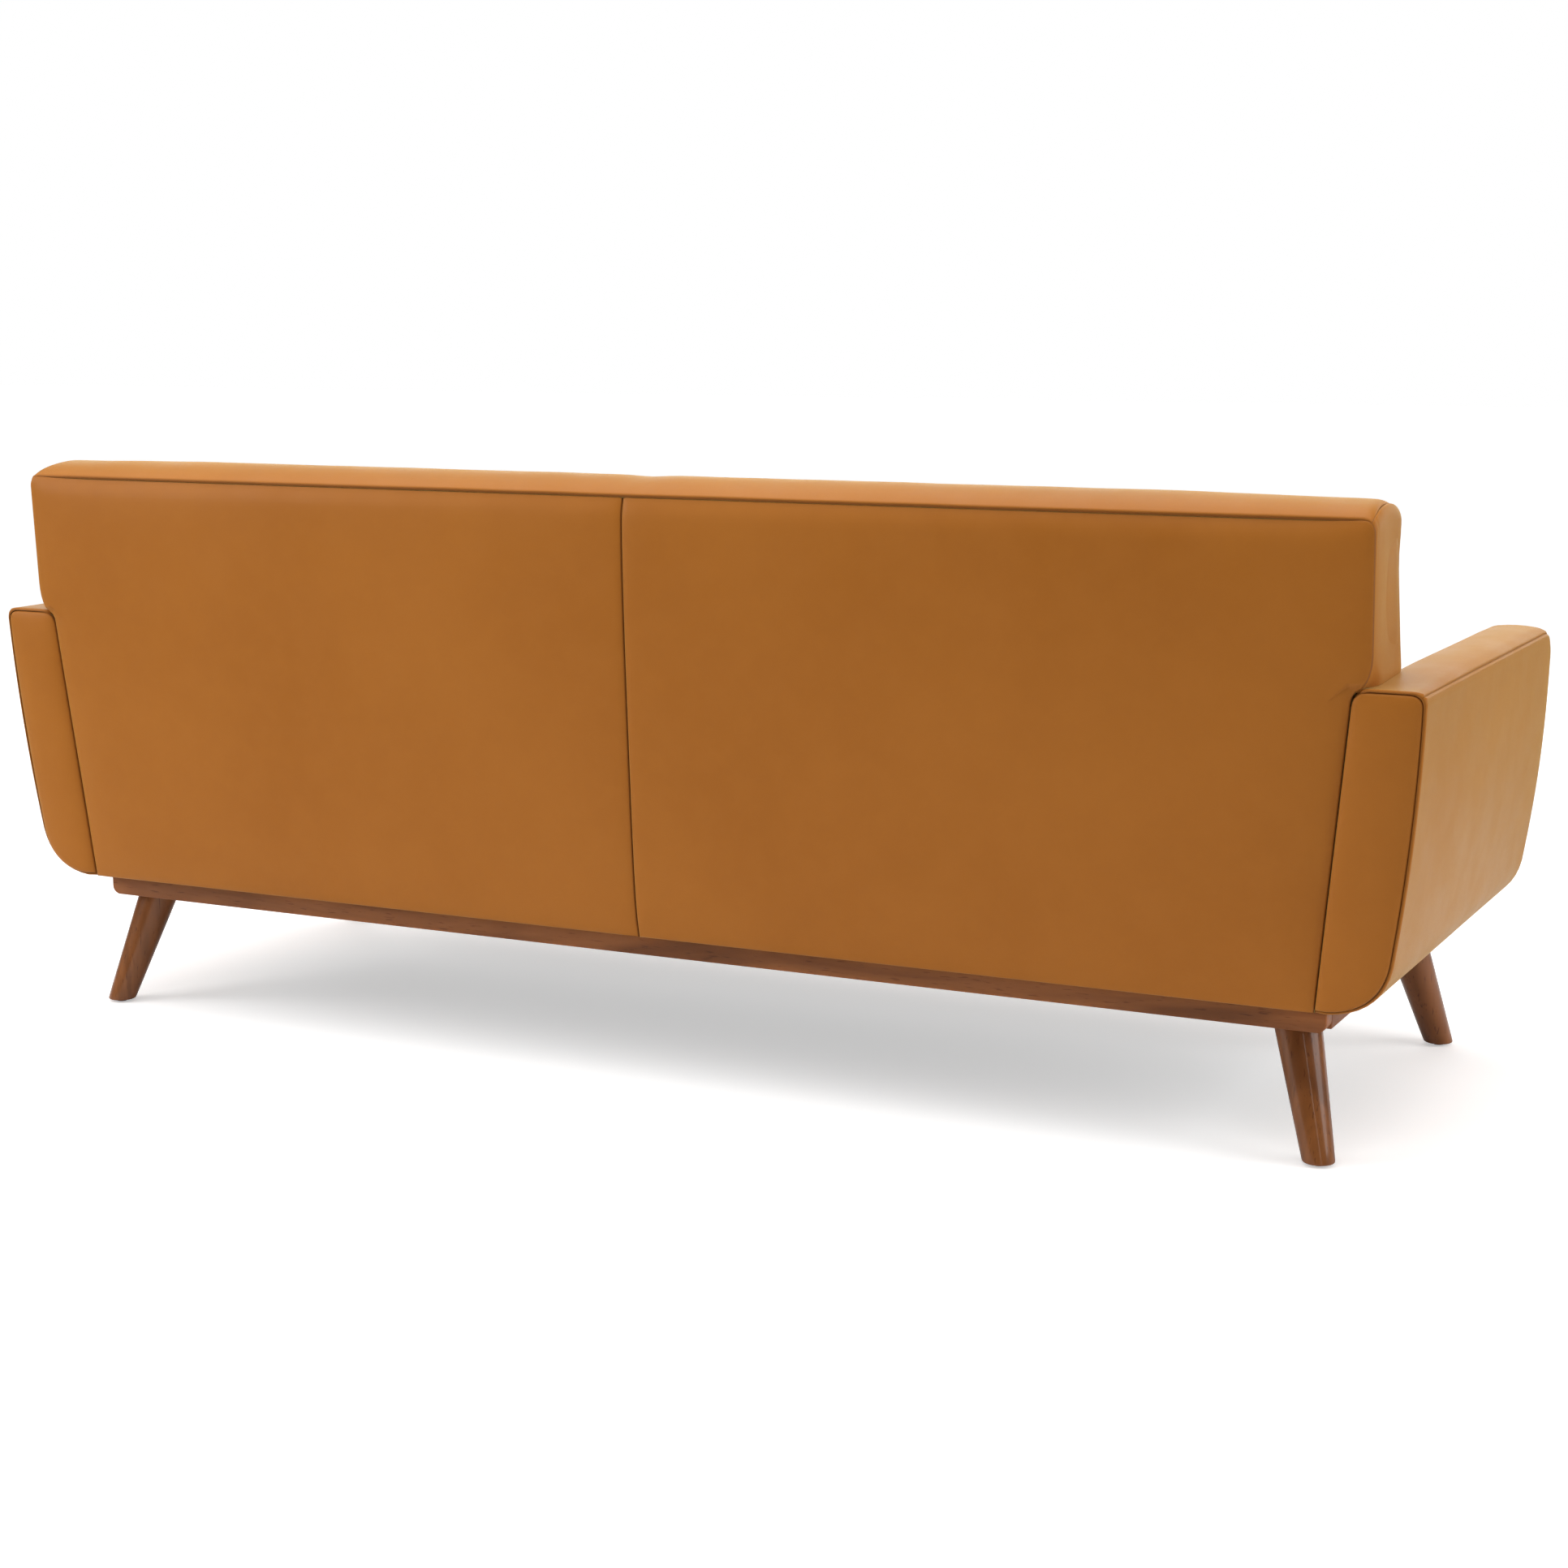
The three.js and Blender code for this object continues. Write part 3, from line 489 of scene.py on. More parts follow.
# ---- Finishes ----------------------------------------------------------------------------
class Shader:
    """A material's node tree, with short calls that add and join its nodes."""

    def __init__(self, name: str) -> None:
        """Makes an empty principled material.

        Args:
            name: The material's name.
        """
        self.material = bpy.data.materials.new(name)
        self.material.use_nodes = True
        self.nodes = self.material.node_tree.nodes
        self.surface = self.nodes["Principled BSDF"]
        self.place = self.nodes.new("ShaderNodeTexCoord").outputs["Object"]

    def fill(self, socket: Socket, value: object) -> None:
        """Links a socket to an output, or sets its value, with an alpha of 1 for a colour.

        Args:
            socket: The input.
            value: An output or a constant.
        """
        if isinstance(value, bpy.types.NodeSocket):
            self.material.node_tree.links.new(value, socket)
        elif isinstance(value, tuple) and socket.type == "RGBA":
            socket.default_value = (*value, 1.0)
        else:
            socket.default_value = value

    def node(self, kind: str, output: str | int, inputs: dict[str | int, object],
             **settings: object) -> Socket:
        """Adds a node.

        Args:
            kind: The end of the node's type name.
            output: The output that is wanted.
            inputs: Values or outputs for the node's inputs.
            settings: The node's own properties.

        Returns:
            The output.
        """
        node = self.nodes.new(f"ShaderNode{kind}")
        for name, value in settings.items():
            setattr(node, name, value)
        for name, value in inputs.items():
            self.fill(node.inputs[name], value)
        return node.outputs[output]

    def stretched(self, scale: Colour) -> Socket:
        """Object coordinates scaled apart along the axes."""
        return self.node("Mapping", "Vector", {"Vector": self.place, "Scale": scale})

    def noise(self, scale: float, detail: float = 2.0, rough: float = 0.5,
              place: Socket | None = None, warp: float = 0.0) -> Socket:
        """Soft noise.

        Args:
            scale: How many bumps a metre has.
            detail: How many finer layers there are.
            rough: How strong the finer layers are.
            place: The coordinates, or None for the object's own.
            warp: How far the noise is bent by itself.

        Returns:
            Values from 0 to 1.
        """
        return self.node("TexNoise", "Fac", {
            "Vector": place or self.place, "Scale": scale, "Detail": detail,
            "Roughness": rough, "Distortion": warp})

    def cells(self, scale: float) -> Socket:
        """Distances to the edges of small cells."""
        return self.node("TexVoronoi", "Distance", {"Vector": self.place, "Scale": scale},
                         feature="DISTANCE_TO_EDGE")

    def span(self, value: Socket, low: float, high: float,
             to_low: float = 0.0, to_high: float = 1.0) -> Socket:
        """A value taken smoothly from one range to another.

        Args:
            value: The value.
            low: Where the first range starts.
            high: Where the first range ends.
            to_low: Where the second range starts.
            to_high: Where the second range ends.

        Returns:
            The value in the second range.
        """
        ranges = dict(enumerate((value, low, high, to_low, to_high)))
        return self.node("MapRange", "Result", ranges, interpolation_type="SMOOTHSTEP")

    def blend(self, share: object, first: object, second: object, kind: str = "MIX") -> Socket:
        """Two colours mixed.

        Args:
            share: The second colour's share.
            first: The first colour.
            second: The second colour.
            kind: How they are mixed.

        Returns:
            The mixed colour.
        """
        return self.node("Mix", 2, {"Factor": share, 6: first, 7: second},
                         data_type="RGBA", blend_type=kind)

    def maths(self, kind: str, first: object, second: object) -> Socket:
        """A sum, product or other mathematics of two values."""
        return self.node("Math", 0, {0: first, 1: second}, operation=kind)

    def attribute(self, name: str) -> Socket:
        """A value that the mesh holds at its points."""
        return self.node("Attribute", "Fac", {}, attribute_name=name)

    def bump(self, height: Socket, strength: float, distance: float,
             under: Socket | None = None) -> Socket:
        """A bump in the surface.

        Args:
            height: The height's pattern.
            strength: How strong the bump is, from 0 to 1.
            distance: The height in metres.
            under: Another bump that this one lies on.

        Returns:
            The bumped normal.
        """
        inputs = {"Strength": strength, "Distance": distance, "Height": height}
        if under is not None:
            inputs["Normal"] = under
        return self.node("Bump", "Normal", inputs)

    def set(self, **values: object) -> None:
        """Sets or links the surface's sockets, with _ for the spaces in their names."""
        for name, value in values.items():
            self.fill(self.surface.inputs[name.replace("_", " ")], value)


@dataclass(frozen=True)
class Finish:
    """Something that a piece is made of: a material and the name of its slot."""

    slot: str
    material: bpy.types.Material


@dataclass(frozen=True)
class LeatherFinish:
    """Smooth tan leather with a fine grain, and painted shade in its seams."""

    colour: Colour = (0.450, 0.155, 0.022)
    deep: Colour = (0.360, 0.115, 0.015)
    pale: Colour = (0.510, 0.185, 0.030)
    # The colour of the painted shade in and beside the seams.
    seam: Colour = (0.220, 0.074, 0.014)
    evenness: float = 0.72
    spottiness: float = 0.16
    wear: float = 0.12
    cloud_scale: float = 2.3
    spot_scale: float = 21.0
    pore_scale: float = 900.0
    crease_scale: float = 48.0
    buckle_scale: float = 7.0
    gloss_scale: float = 12.0
    pore_depth: float = 0.00008
    crease_depth: float = 0.0005
    buckle_depth: float = 0.0015
    roughness: tuple[float, float] = (0.37, 0.46)
    pore_gloss: float = -0.03

    def make(self) -> Finish:
        """Makes the leather.

        Returns:
            The finish.
        """
        shader = Shader("tan_leather")
        clouds = shader.span(shader.noise(self.cloud_scale), 0.30, 0.70)
        spots = shader.span(shader.noise(self.spot_scale, 4.0, 0.6), 0.35, 0.7)
        pores = shader.span(shader.cells(self.pore_scale), 0.0, 0.12)
        worn = shader.maths("SUBTRACT", 1.0, pores)
        tone = shader.blend(clouds, self.deep, self.pale)
        tone = shader.blend(self.evenness, tone, self.colour)
        tone = shader.blend(shader.maths("MULTIPLY", spots, self.spottiness), tone, self.pale)
        tone = shader.blend(shader.maths("MULTIPLY", worn, self.wear), tone, self.deep)
        # Painted shade: the seams and turned-in edges are darkened towards the seam colour by the
        # mesh's painted shade value.
        tone = shader.blend(shader.attribute(PAINTED_SHADE_LAYER), tone, self.seam)
        creases = shader.noise(self.crease_scale, 5.0, 0.62, warp=0.6)
        buckles = shader.bump(shader.noise(self.buckle_scale, 1.0), 0.12, self.buckle_depth)
        normal = shader.bump(creases, 0.16, self.crease_depth, buckles)
        normal = shader.bump(pores, 0.35, self.pore_depth, normal)
        gloss = shader.span(shader.noise(self.gloss_scale, 4.0), 0.3, 0.7, *self.roughness)
        gloss = shader.maths("ADD", gloss, shader.maths("MULTIPLY", pores, self.pore_gloss))
        shader.set(Base_Color=tone, Roughness=gloss, Normal=normal, IOR=1.5,
                   Specular_IOR_Level=0.10, Coat_Weight=0.02, Coat_Roughness=0.25,
                   Sheen_Weight=0.40, Sheen_Roughness=0.36, Sheen_Tint=(1.0, 0.93, 0.36))
        return Finish("hide", shader.material)


@dataclass(frozen=True)
class WoodFinish:
    """Wood with its grain along one axis, bare or stained and lacquered."""

    name: str
    slot: str
    dark: Colour
    light: Colour
    along: Colour
    roughness: float
    coat: float = 0.0
    band_scale: float = 14.0
    fibre_scale: float = 120.0
    pore_scale: float = 310.0
    fibre_depth: float = 0.0004
    pore_depth: float = 0.0002

    def make(self) -> Finish:
        """Makes the wood.

        Returns:
            The finish.
        """
        shader = Shader(self.name)
        place = shader.stretched(self.along)
        bands = shader.noise(self.band_scale, 3.0, 0.55, place, 1.4)
        fibres = shader.noise(self.fibre_scale, 4.0, 0.65, place)
        pores = shader.span(shader.noise(self.pore_scale, place=place), 0.60, 0.72)
        tone = shader.blend(shader.span(bands, 0.32, 0.68), self.dark, self.light)
        tone = shader.blend(shader.maths("MULTIPLY", fibres, 0.35), tone, self.dark)
        tone = shader.blend(shader.maths("MULTIPLY", pores, 0.45), tone, self.dark, "MULTIPLY")
        gloss = shader.span(fibres, 0.2, 0.8, self.roughness - 0.05, self.roughness + 0.07)
        normal = shader.bump(fibres, 0.10, self.fibre_depth)
        normal = shader.bump(pores, -0.12, self.pore_depth, normal)
        shader.set(Base_Color=tone, Roughness=gloss, Normal=normal, IOR=1.5,
                   Specular_IOR_Level=0.25, Coat_Weight=self.coat, Coat_Roughness=0.10)
        return Finish(self.slot, shader.material)


@dataclass(frozen=True)
class PlainFinish:
    """A plain finish with fine specks: steel or plastic."""

    name: str
    slot: str
    colour: Colour
    roughness: float
    metallic: float = 0.0
    speck_scale: float = 800.0
    mark_scale: float = 30.0
    depth: float = 0.0002

    def make(self) -> Finish:
        """Makes the finish.

        Returns:
            The finish.
        """
        shader = Shader(self.name)
        specks = shader.noise(self.speck_scale, 3.0, 0.6)
        marks = shader.span(shader.noise(self.mark_scale, 4.0, 0.6), 0.3, 0.75)
        shadow = tuple(0.72 * part for part in self.colour)
        tone = shader.blend(shader.maths("MULTIPLY", specks, 0.6), self.colour, shadow)
        gloss = shader.maths("ADD", shader.maths("MULTIPLY", marks, 0.10), self.roughness - 0.05)
        shader.set(Base_Color=tone, Roughness=gloss, Metallic=self.metallic,
                   Normal=shader.bump(specks, 0.4, self.depth))
        return Finish(self.slot, shader.material)


@dataclass(frozen=True)
class WovenFinish:
    """Cloth or webbing with threads that cross along two axes."""

    name: str
    slot: str
    colour: Colour
    threads: float
    second: Colour
    first: Colour = (1.0, 0.0, 0.0)

    def make(self) -> Finish:
        """Makes the weave.

        Returns:
            The finish.
        """
        shader = Shader(self.name)
        waves = [shader.node("TexWave", "Fac", {"Vector": shader.stretched(direction),
                                                "Scale": self.threads, "Distortion": 0.6,
                                                "Detail": 1.0})
                 for direction in (self.first, self.second)]
        weave = shader.maths("MULTIPLY", *waves)
        shadow = tuple(0.45 * part for part in self.colour)
        tone = shader.blend(weave, shadow, self.colour)
        tone = shader.blend(shader.maths("MULTIPLY", shader.noise(60.0, 3.0), 0.3), tone, shadow)
        shader.set(Base_Color=tone, Roughness=0.9, Normal=shader.bump(weave, 0.5, 0.0005))
        return Finish(self.slot, shader.material)


class Finishes:
    """Every finish that the sofa uses."""

    def __init__(self) -> None:
        """Makes the finishes."""
        rails = {"slot": "stained_wood", "dark": (0.210, 0.068, 0.017),
                 "light": (0.430, 0.152, 0.042), "roughness": 0.42, "coat": 0.06}
        bare = {"slot": "frame_wood", "dark": (0.42, 0.27, 0.13), "light": (0.62, 0.43, 0.24),
                "roughness": 0.62}
        self.leather = LeatherFinish().make()
        self.rail_wood = WoodFinish("stained_wood_rails", along=(0.12, 1.0, 1.0), **rails).make()
        self.cross_wood = WoodFinish("stained_wood_sides", along=(1.0, 0.12, 1.0), **rails).make()
        self.leg_wood = WoodFinish(
            "stained_wood_legs", "stained_wood", dark=(0.165, 0.053, 0.012),
            light=(0.340, 0.118, 0.030), along=(1.0, 1.0, 0.10), roughness=0.34, coat=0.45).make()
        self.bare_wood = WoodFinish("bare_wood", along=(0.15, 1.0, 1.0), **bare).make()
        self.bare_posts = WoodFinish("bare_wood_posts", along=(1.0, 1.0, 0.15), **bare).make()
        self.spring_steel = PlainFinish("spring_steel", "spring_steel", (0.34, 0.35, 0.36),
                                        roughness=0.36, metallic=1.0).make()
        self.bolt_steel = PlainFinish("bolt_steel", "bolt_steel", (0.52, 0.52, 0.50),
                                      roughness=0.30, metallic=1.0).make()
        self.plastic = PlainFinish("black_plastic", "glide_plastic", (0.012, 0.012, 0.013),
                                   roughness=0.45).make()
        self.webbing = WovenFinish("webbing", "webbing", (0.055, 0.055, 0.060),
                                   threads=90.0, second=(0.0, 0.0, 1.0)).make()
        self.deck = WovenFinish("deck_felt", "deck_felt", (0.075, 0.066, 0.060),
                                threads=160.0, second=(0.0, 1.0, 0.0)).make()
        self.lining = WovenFinish("lining", "lining", (0.035, 0.033, 0.033),
                                  threads=260.0, second=(0.0, 1.0, 0.0)).make()


# ---- Lines that the covers share ---------------------------------------------------------
@dataclass(frozen=True)
class ShellLines:
    """The straight lines of the leather shell, read from the frame."""

    bottom: float
    seam_top: float
    crown: float
    half: float
    rear_foot: float
    recline: float
    arm_foot: float
    arm_top: float
    front_foot: float
    deck: float
    flare: float = 0.1
    front_lean: float = 0.069
    foot_depth: float = 0.222
    top_depth: float = 0.136
    crown_fall: float = 0.010
    ear_lift: float = 0.003

    @classmethod
    def from_frame(cls) -> "ShellLines":
        """Reads the lines from the boxes of the frame's covers.

        Returns:
            The lines.
        """
        panel_low, panel_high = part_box("back_rear_panel_left")
        facing_low, facing_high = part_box("arm_rear_facing_left")
        rear_foot = panel_low.y + LEATHER
        return cls(
            bottom=panel_low.z,
            seam_top=panel_high.z,
            crown=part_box("back_top_band")[1].z,
            half=panel_high.x,
            rear_foot=rear_foot,
            recline=(panel_high.y - rear_foot) / (panel_high.z - panel_low.z),
            arm_foot=facing_low.x,
            arm_top=facing_high.z,
            front_foot=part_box("arm_front_facing_left")[0].y,
            deck=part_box("seat_cushion_cover_left")[0].z,
        )

    def inner(self, z: float) -> float:
        """X of the arm's inner face at a height."""
        return self.arm_foot + self.flare * (z - self.bottom)

    def rear(self, z: float) -> float:
        """Y of the rear plane at a height."""
        return self.rear_foot + self.recline * (z - self.bottom)

    def arm_front(self, z: float) -> float:
        """Y of the arm's front at a height."""
        return self.front_foot + self.front_lean * (z - self.bottom)

    def depth(self, z: float) -> float:
        """Depth of the back at a height."""
        share = (z - self.deck) / (self.crown - self.crown_fall - self.deck)
        return mix(self.foot_depth, self.top_depth, share)

    def back_front(self, z: float) -> float:
        """Y of the back's front at a height."""
        return self.rear(z) - self.depth(z)


# ---- Plinth and legs ---------------------------------------------------------------------
@dataclass(frozen=True)
class Plinth:
    """Four rails of stained wood under the shell."""

    finishes: Finishes
    edge: float = 0.0022
    end_round: float = 0.014
    edge_steps: int = 4
    end_steps: int = 10
    sharp: float = math.radians(35.0)

    def build(self) -> None:
        """Makes the four rails."""
        for place in ("back", "front"):
            self._rail(f"plinth_rail_{place}", self.finishes.rail_wood, True)
        for side in Side:
            self._rail(f"plinth_rail_{side.word}", self.finishes.cross_wood, False)

    def _rail(self, node: str, finish: Finish, soft_ends: bool) -> None:
        """Makes one rail in the box of its node.

        Args:
            node: The rail's node.
            finish: Its wood.
            soft_ends: Whether the lower corners at its ends are rounded.
        """
        low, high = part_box(node)
        mesh = lattice(list(zip(low, high)), (1, 1, 1))
        if soft_ends:
            ends = [e for e in mesh.edges if all(abs(v.co.z - low.z) < LEVEL for v in e.verts)
                    and abs(e.verts[0].co.x - e.verts[1].co.x) < LEVEL]
            bevel(mesh, ends, self.end_round, self.end_steps)
        corners = [e for e in mesh.edges if e.calc_face_angle(0.0) > self.sharp]
        bevel(mesh, corners, self.edge, self.edge_steps)
        add_piece(f"{node}_wood", mesh, finish, nodes=[node], sharp=self.sharp)


@dataclass(frozen=True)
class Leg:
    """A round tapered leg that splays outwards, with a glide under its foot."""

    place: str
    side: Side
    top_radius: float = 0.0328
    foot_radius: float = 0.0223
    bevel: float = 0.0025
    bevel_steps: int = 4
    glide_radius: float = 0.009
    glide_height: float = 0.004
    glide_edge: Point = (0.0003, 0.001)
    around: int = 64
    rings: int = 10
    sharp: float = math.radians(50.0)
    glide_sharp: float = math.radians(35.0)

    def build(self, finishes: Finishes) -> None:
        """Makes the leg and its glide.

        Args:
            finishes: The sofa's finishes.
        """
        name = f"{self.place}_{self.side.word}"
        low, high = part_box(f"leg_{name}")
        top, foot = self._axis(low, high, self.top_radius), self._axis(high, low, -self.foot_radius)
        height = high.z - low.z

        def lean(spot: Vector) -> Vector:
            """A point of the upright leg, moved along the leg's slope."""
            axis = foot.lerp(top, spot.z / height)
            return Vector((spot.x + axis.x, spot.y + axis.y, spot.z + low.z))

        leg = shift(self._spun(self._profile(height)), lean)
        add_piece(f"leg_{name}_wood", leg, finishes.leg_wood, nodes=[f"leg_{name}"],
                  sharp=self.sharp)
        radius, (near, edge) = self.glide_radius, self.glide_edge
        disc = self._spun([(0.0, 0.0), (radius - edge, 0.0), (radius - near, near), (radius, edge),
                           (radius, self.glide_height), (0.0, self.glide_height)])
        bmesh.ops.translate(disc, vec=(foot.x, foot.y, 0.0), verts=disc.verts[:])
        add_piece(f"glide_{name}_disc", disc, finishes.plastic, nodes=[f"glide_{name}"],
                  sharp=self.glide_sharp)

    def _profile(self, height: float) -> list[Point]:
        """Radius and height pairs from the foot's middle to the top's middle.

        Args:
            height: The leg's height.

        Returns:
            The pairs.
        """
        profile = [(0.0, 0.0), (self.foot_radius - self.bevel, 0.0)]
        for i in range(1, self.bevel_steps + 1):
            angle = QUARTER_TURN * i / self.bevel_steps
            profile.append((self.foot_radius - self.bevel * (1.0 - math.sin(angle)),
                            self.bevel * (1.0 - math.cos(angle))))
        for i in range(1, self.rings + 1):
            share = mix(self.bevel / height, 1.0, i / self.rings)
            profile.append((mix(self.foot_radius, self.top_radius, share), height * share))
        return profile + [(0.0, height)]

    def _axis(self, near: Vector, far: Vector, radius: float) -> Vector:
        """The axis beside the sides of the leg's box.

        Args:
            near: The box's corner nearer the sofa's middle, seen from the left rear leg.
            far: The opposite corner.
            radius: The leg's radius there, with a minus where it is measured inwards.

        Returns:
            The axis, at height 0.
        """
        x = near.x + radius if self.side is Side.LEFT else far.x - radius
        y = near.y + radius if self.place == "back" else far.y - radius
        return Vector((x, y, 0.0))

    def _spun(self, profile: Sequence[Point]) -> bmesh.types.BMesh:
        """Turns a profile of radius and height pairs about the vertical axis.

        Args:
            profile: The pairs, from the bottom to the top.

        Returns:
            The closed mesh.
        """
        mesh = bmesh.new()
        verts = [mesh.verts.new((radius, 0.0, z)) for radius, z in profile]
        edges = [mesh.edges.new(pair) for pair in zip(verts, verts[1:])]
        bmesh.ops.spin(mesh, geom=verts + edges, cent=(0, 0, 0), axis=(0, 0, 1), dvec=(0, 0, 0),
                       angle=2.0 * math.pi, steps=self.around, use_merge=True)
        bmesh.ops.remove_doubles(mesh, verts=mesh.verts[:], dist=TOUCHING)
        bmesh.ops.recalc_face_normals(mesh, faces=mesh.faces[:])
        return mesh


# ---- Arms --------------------------------------------------------------------------------
class ArmRun(IntEnum):
    """The runs of an arm's section, from the inner bottom corner."""

    INNER = 0
    INNER_CORNER = 1
    TOP = 2
    OUTER_CORNER = 3
    OUTER = 4
    FOOT = 5
    BOTTOM = 6


# A run and the share along it; and a ring's share of length, nose angle, inset and end depth.
ArmColumn = tuple[ArmRun, float]
ArmRow = tuple[float, float, float, float]


@dataclass(frozen=True)
class Arm:
    """A flared leather arm with a facing at each end and a sewn line on its outer top edge."""

    lines: ShellLines
    width: float = 0.097
    bow: float = 0.005
    edge: float = 0.021
    nose: float = 0.042
    foot_flat: float = 0.018
    foot_rise: float = 0.086
    foot_tuck: float = 0.079
    foot_lift: float = 0.007
    rim: float = 0.0038
    facing_gap: float = 0.0005
    crown: float = 0.008
    full: float = 0.0065
    full_reach: Point = (0.030, 0.016)
    swell: float = 0.004
    pitch: float = 0.013
    length_steps: int = 46
    nose_steps: int = 9
    rim_steps: int = 4
    rim_rows: tuple[float, ...] = (0.007, 0.0030)
    near_rows: tuple[float, ...] = (0.006, 0.009, 0.013, 0.019)
    buried: float = 0.006
    buried_reach: Point = (0.004, 0.016)
    ridge: float = 0.0008
    ridge_place: float = 0.0042
    ridge_reach: float = 0.0020
    groove: float = 0.0016
    groove_reach: float = 0.0012
    wave: float = 0.0006
    facing_roll: float = 0.0028
    facing_rings: float = 0.0085
    rear_proud: float = 0.0008
    front_proud: float = 0.0015

    def section(self, top: float, outside: float, inside: float) -> Outline:
        """The arm in X and Z.

        Args:
            top: The height of its top, before it is moved in.
            outside: How far the outer side, top and bottom are moved in.
            inside: How far the inner side is moved in.

        Returns:
            The closed outline, from the inner bottom corner up the inner side.
        """
        lines = self.lines
        low, high, edge = lines.bottom + outside, top - outside, self.edge
        foot_end = lines.bottom + self.foot_rise
        flat_end = lines.arm_foot + self.foot_flat
        bow_z = (foot_end + high - edge) / 2.0

        def inner(z: float) -> float:
            """X of the inner side at a height."""
            return lines.inner(z) + inside

        def outer(z: float) -> float:
            """X of the outer side at a height."""
            return lines.inner(z) + self.width - outside

        outline = Outline(inner(low), low)
        outline.line_to(inner(high - edge), high - edge)
        outline.curve_to((inner(high), high), inner(high) + edge, high)
        outline.line_to(outer(high) - edge, high)
        outline.curve_to((outer(high), high), outer(high - edge), high - edge)
        outline.curve_to((outer(bow_z) + 2.0 * self.bow, bow_z), outer(foot_end), foot_end)
        outline.curve_to((flat_end + self.foot_tuck - outside, low + self.foot_lift), flat_end, low)
        outline.line_to(inner(low), low)
        return outline

    def build(self, side: Side, finishes: Finishes) -> None:
        """Makes the arm's wrap and its two facings.

        Args:
            side: The side that it stands on.
            finishes: The sofa's finishes.
        """
        nodes = [f"arm_pad_{side.word}"]
        wrap = on_side(self._wrap(), side)
        piece = add_piece(f"arm_wrap_{side.word}", wrap, finishes.leather, nodes=nodes)
        for name, mesh in (("rear", self._rear_facing()), ("front", self._front_facing())):
            node = f"arm_{name}_facing_{side.word}"
            facing = on_side(mesh, side)
            facing_piece = add_piece(f"{node}_leather", facing, finishes.leather, nodes=[node])

    def _columns(self) -> list[ArmColumn]:
        """Runs and shares around the section, close together along the sewn top edge.

        Returns:
            The columns.
        """
        outline = self.section(self.lines.arm_top, 0.0, 0.0)
        columns = []
        for run in ArmRun:
            length = outline.length(run)
            pitch = min(self.pitch, length / 10) if outline.curved(run) else self.pitch
            shares = spread(length, pitch)
            if run is ArmRun.OUTER_CORNER:
                half = spread(length / 2.0, length / 12.0, start=True)
                shares = [0.5 - share / 2.0 for share in reversed(half)]
                shares += [0.5 + share / 2.0 for share in half[1:]]
            columns += [(run, share) for share in shares[:-1]]
        return columns + [(ArmRun.BOTTOM, 1.0)]

    def _rows(self) -> list[ArmRow]:
        """Rings from the rear end to the front end.

        Returns:
            The rows.
        """
        rim = self.rim
        turned = [(rim, depth) for depth in self.rim_rows]
        angles = [QUARTER_TURN * i / self.rim_steps for i in range(self.rim_steps + 1)]
        rounding = [(rim * (1.0 - math.sin(a)), rim * (1.0 - math.cos(a))) for a in angles]
        close = [(0.0, depth) for depth in self.near_rows]
        rear = [(0.0, 0.0, inset, depth) for inset, depth in turned + rounding + close]
        middle = [(i / self.length_steps, 0.0, 0.0, self.near_rows[-1])
                  for i in range(1, self.length_steps + 1)]
        nose = [(1.0, QUARTER_TURN * i / self.nose_steps, 0.0, 0.0)
                for i in range(1, self.nose_steps + 1)]
        front = [(1.0, QUARTER_TURN, inset, -depth)
                 for inset, depth in rounding[-2::-1] + turned[::-1]]
        return rear + middle + nose + front

    def _wrap(self) -> bmesh.types.BMesh:
        """The leather over the arm's top and both sides.

        Returns:
            The mesh.
        """
        lines = self.lines
        cache: dict[tuple[float, float], Outline] = {}
        outline = self.section(lines.arm_top, 0.0, 0.0)
        top, corner, side = (outline.length(run)
                             for run in (ArmRun.TOP, ArmRun.OUTER_CORNER, ArmRun.OUTER))

        def place(column: ArmColumn, row: ArmRow) -> Vector:
            """A point of the wrap, before it is padded.

            Args:
                column: The column.
                row: The row.

            Returns:
                The place.
            """
            share, angle, inset, depth = row
            key = (lines.arm_top - self.nose * (1.0 - math.cos(angle)), inset)
            if key not in cache:
                cache[key] = self.section(*key, inset)
            x, z = cache[key].at(*column)
            if angle > 0.0:
                return Vector((x, lines.arm_front(z) + self.nose * (1.0 - math.sin(angle))
                               - min(0.0, depth), z))
            start = lines.rear(z) - SEAM_GAP - depth
            if share == 0.0:
                start -= self.buried * (1.0 - smoothstep(*self.buried_reach, x - lines.inner(z)))
            return Vector((x, mix(start, lines.arm_front(z) + self.nose, share), z))

        def seam_distance(column: ArmColumn) -> float:
            """The distance to the sewn line on the outer top edge, or 1 far away.

            Args:
                column: The column.

            Returns:
                The distance.
            """
            run, share = column
            if run is ArmRun.OUTER_CORNER:
                return abs(share - 0.5) * corner
            if run is ArmRun.TOP:
                return (1.0 - share) * top + corner / 2.0
            return share * side + corner / 2.0 if run is ArmRun.OUTER else 1.0

        def painted_shade_distance(column: ArmColumn, row: ArmRow) -> float:
            """The distance that sets the painted shade along the sewn line and in the turned-in
            ends.
            """
            return min(seam_distance(column) + PAINTED_SHADE_REACH / 3.0,
                       PAINTED_SHADE_REACH / 2.0 if row[2] > PAINTED_SHADE_REACH / 1.5 else 1.0)

